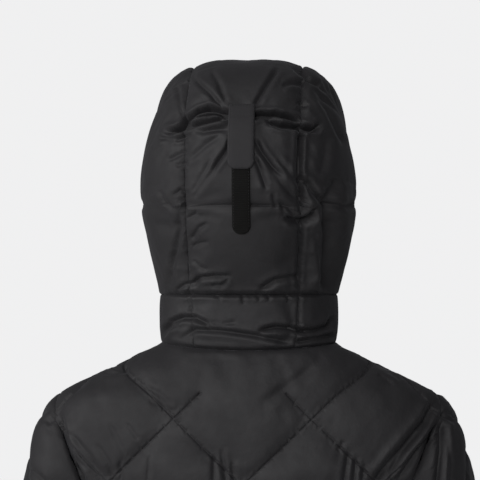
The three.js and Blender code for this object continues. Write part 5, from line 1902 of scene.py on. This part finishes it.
plain_cloth(TAB_CLOTH, TAB_BLACK, 0.72, 0.03, 1100, 0.00025)
plain_cloth(TAPE_CLOTH, TAPE_BLACK, 0.8, 0.05, 1600, 0.0002)
pile_rows(*plain_cloth(LOOP_CLOTH, PILE_BLACK, 0.95, 0.02, 1300, 0.0005))
print("three woven blacks are ready")

# %% [markdown]
# The zip's metal is blackened and worn unevenly. The slider and its pull come from the frame with sharp
# edges, so a narrow Bevel modifier rounds them and leaves their size as it is.

# %% Zip metal
METAL_BLACK = (0.03, 0.03, 0.032, 1)
ROUNDED_EDGE = 0.00022

metal_tree, metal_shader = nodes_of(ZIP_METAL)
metal_shader.inputs["Base Color"].default_value = METAL_BLACK
metal_shader.inputs["Metallic"].default_value = 0.85
metal_wear = spread(metal_tree, noise(metal_tree, 300, 3, 0.6, object_place(metal_tree)), 0.3, 0.5)
metal_tree.links.new(metal_wear, metal_shader.inputs["Roughness"])
for name in ("zip_slider", "zip_pull"):
    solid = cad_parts[name]
    for slot in solid.material_slots:
        slot.material = ZIP_METAL
    rounding = solid.modifiers.new("rounding", "BEVEL")
    rounding.width = ROUNDED_EDGE
    rounding.segments = 2
    rounding.limit_method = "ANGLE"
    print(name, "has rounded edges")

# %% [markdown]
# ## What rides on what
#
# Every piece moves with a body of the frame and hides the solid that it stands for.

# %% Bodies
replaced = {
    "back": back, "front_left": fronts[0], "front_right": fronts[1],
    "sleeve_left": sleeves[0], "sleeve_right": sleeves[1],
    "collar_back": collar_back, "collar_left": collar_sides[0], "collar_right": collar_sides[1],
    "hood_center": hood_middle, "hood_left": hood_sides[0], "hood_right": hood_sides[1],
}
for node, piece in replaced.items():
    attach(piece, "garment")
    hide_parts(node)

sheets = [
    (tab, "hood_tab", "tab_fabric", (2 * TAB_HALF, TAB_TO - TAB_FROM), "laid", hood_middle, [tab_thread]),
    (strip, "hood_tab_strip", "hook_and_loop", (2 * STRIP_HALF, STRIP_TO - STRIP_FROM), "laid", hood_middle,
     [strip_thread]),
    (tapes[0], "zip_tape_left", "zip_tape", (TAPE_WIDTH, zip_along[-1]), "hung", fronts[0], [teeth_rows[0]]),
    (tapes[1], "zip_tape_right", "zip_tape", (TAPE_WIDTH, zip_along[-1]), "hung", fronts[1], [teeth_rows[1]]),
]
for piece, node, slot, cut, held, under, on_it in sheets:
    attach(piece, "garment")
    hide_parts(node)
    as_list(on_it)
for piece, slot in ((tab_thread, "tab_fabric"), (strip_thread, "hook_and_loop"),
                    (teeth_rows[0], "zip_metal"), (teeth_rows[1], "zip_metal")):
    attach(piece, "garment")
print(len(replaced), "padded pieces and", len(sheets), "flat ones ride on the garment")

# %% [markdown]
# ## The studio
#
# A large soft lamp stands to the left of the camera, a second one near the camera and a faint one above.
# Black cloth needs this: its shape shows only in the difference between the lit and the turned-away
# sides of each fold. The floor only closes the picture in the lower views.

# %% Floor and lamps
FLOOR_HALF = 6
FLOOR_HEIGHT = -1.3
LAMP_TARGET = (0, 0, 0.05)

floor_mesh = bpy.data.meshes.new("studio_floor")
floor_shape = bmesh.new()
bmesh.ops.create_grid(floor_shape, x_segments=1, y_segments=1, size=FLOOR_HALF)
bmesh.ops.translate(floor_shape, verts=floor_shape.verts, vec=(0, 0, FLOOR_HEIGHT))
floor_shape.to_mesh(floor_mesh)
floor_shape.free()
floor_material = bpy.data.materials.new("studio_white")
nodes_of(floor_material)[1].inputs["Base Color"].default_value = (0.85, 0.85, 0.85, 1)
floor = place_object("studio_floor", floor_mesh, floor_material, smooth=False)


def soft_light(name, place, size, power):
    data = bpy.data.lights.new(name, "AREA")
    data.size = size
    data.energy = power
    lamp = bpy.data.objects.new(name, data)
    SCENE.collection.objects.link(lamp)
    lamp.location = place
    lamp.rotation_euler = (Vector(LAMP_TARGET) - Vector(place)).to_track_quat("-Z", "Y").to_euler()
    print(name, power, "W")


soft_light("key_light", (2.7, 1.5, 1.0), 1.8, 55)
soft_light("front_light", (0.3, 3.2, 1.1), 1.5, 46)
soft_light("top_light", (-0.3, 1.2, 3.0), 1.4, 9)

# %% [markdown]
# The camera sees an even, pale backdrop, but the coat is lit only weakly by it. A Light Path node tells
# the two apart: rays from the camera get the bright air, and all other rays get the faint one.

# %% Backdrop
BACKDROP = (0.87, 0.87, 0.875, 1)
AIR_COLOR = (0.95, 0.96, 1.0, 1)
AIR_STRENGTH = 0.1

world = bpy.data.worlds.new("studio_air")
SCENE.world = world
world.use_nodes = True
air = world.node_tree
seen_air = air.nodes["Background"]
seen_air.inputs["Color"].default_value = BACKDROP
seen_air.inputs["Strength"].default_value = 1.0
soft_air = air.nodes.new("ShaderNodeBackground")
soft_air.inputs["Color"].default_value = AIR_COLOR
soft_air.inputs["Strength"].default_value = AIR_STRENGTH
which_air = air.nodes.new("ShaderNodeMixShader")
rays = air.nodes.new("ShaderNodeLightPath")
air.links.new(rays.outputs["Is Camera Ray"], which_air.inputs[0])
air.links.new(soft_air.outputs[0], which_air.inputs[1])
air.links.new(seen_air.outputs[0], which_air.inputs[2])
air.links.new(which_air.outputs[0], air.nodes["World Output"].inputs["Surface"])
SCENE.view_settings.view_transform = "Standard"
print("backdrop", BACKDROP[:3])
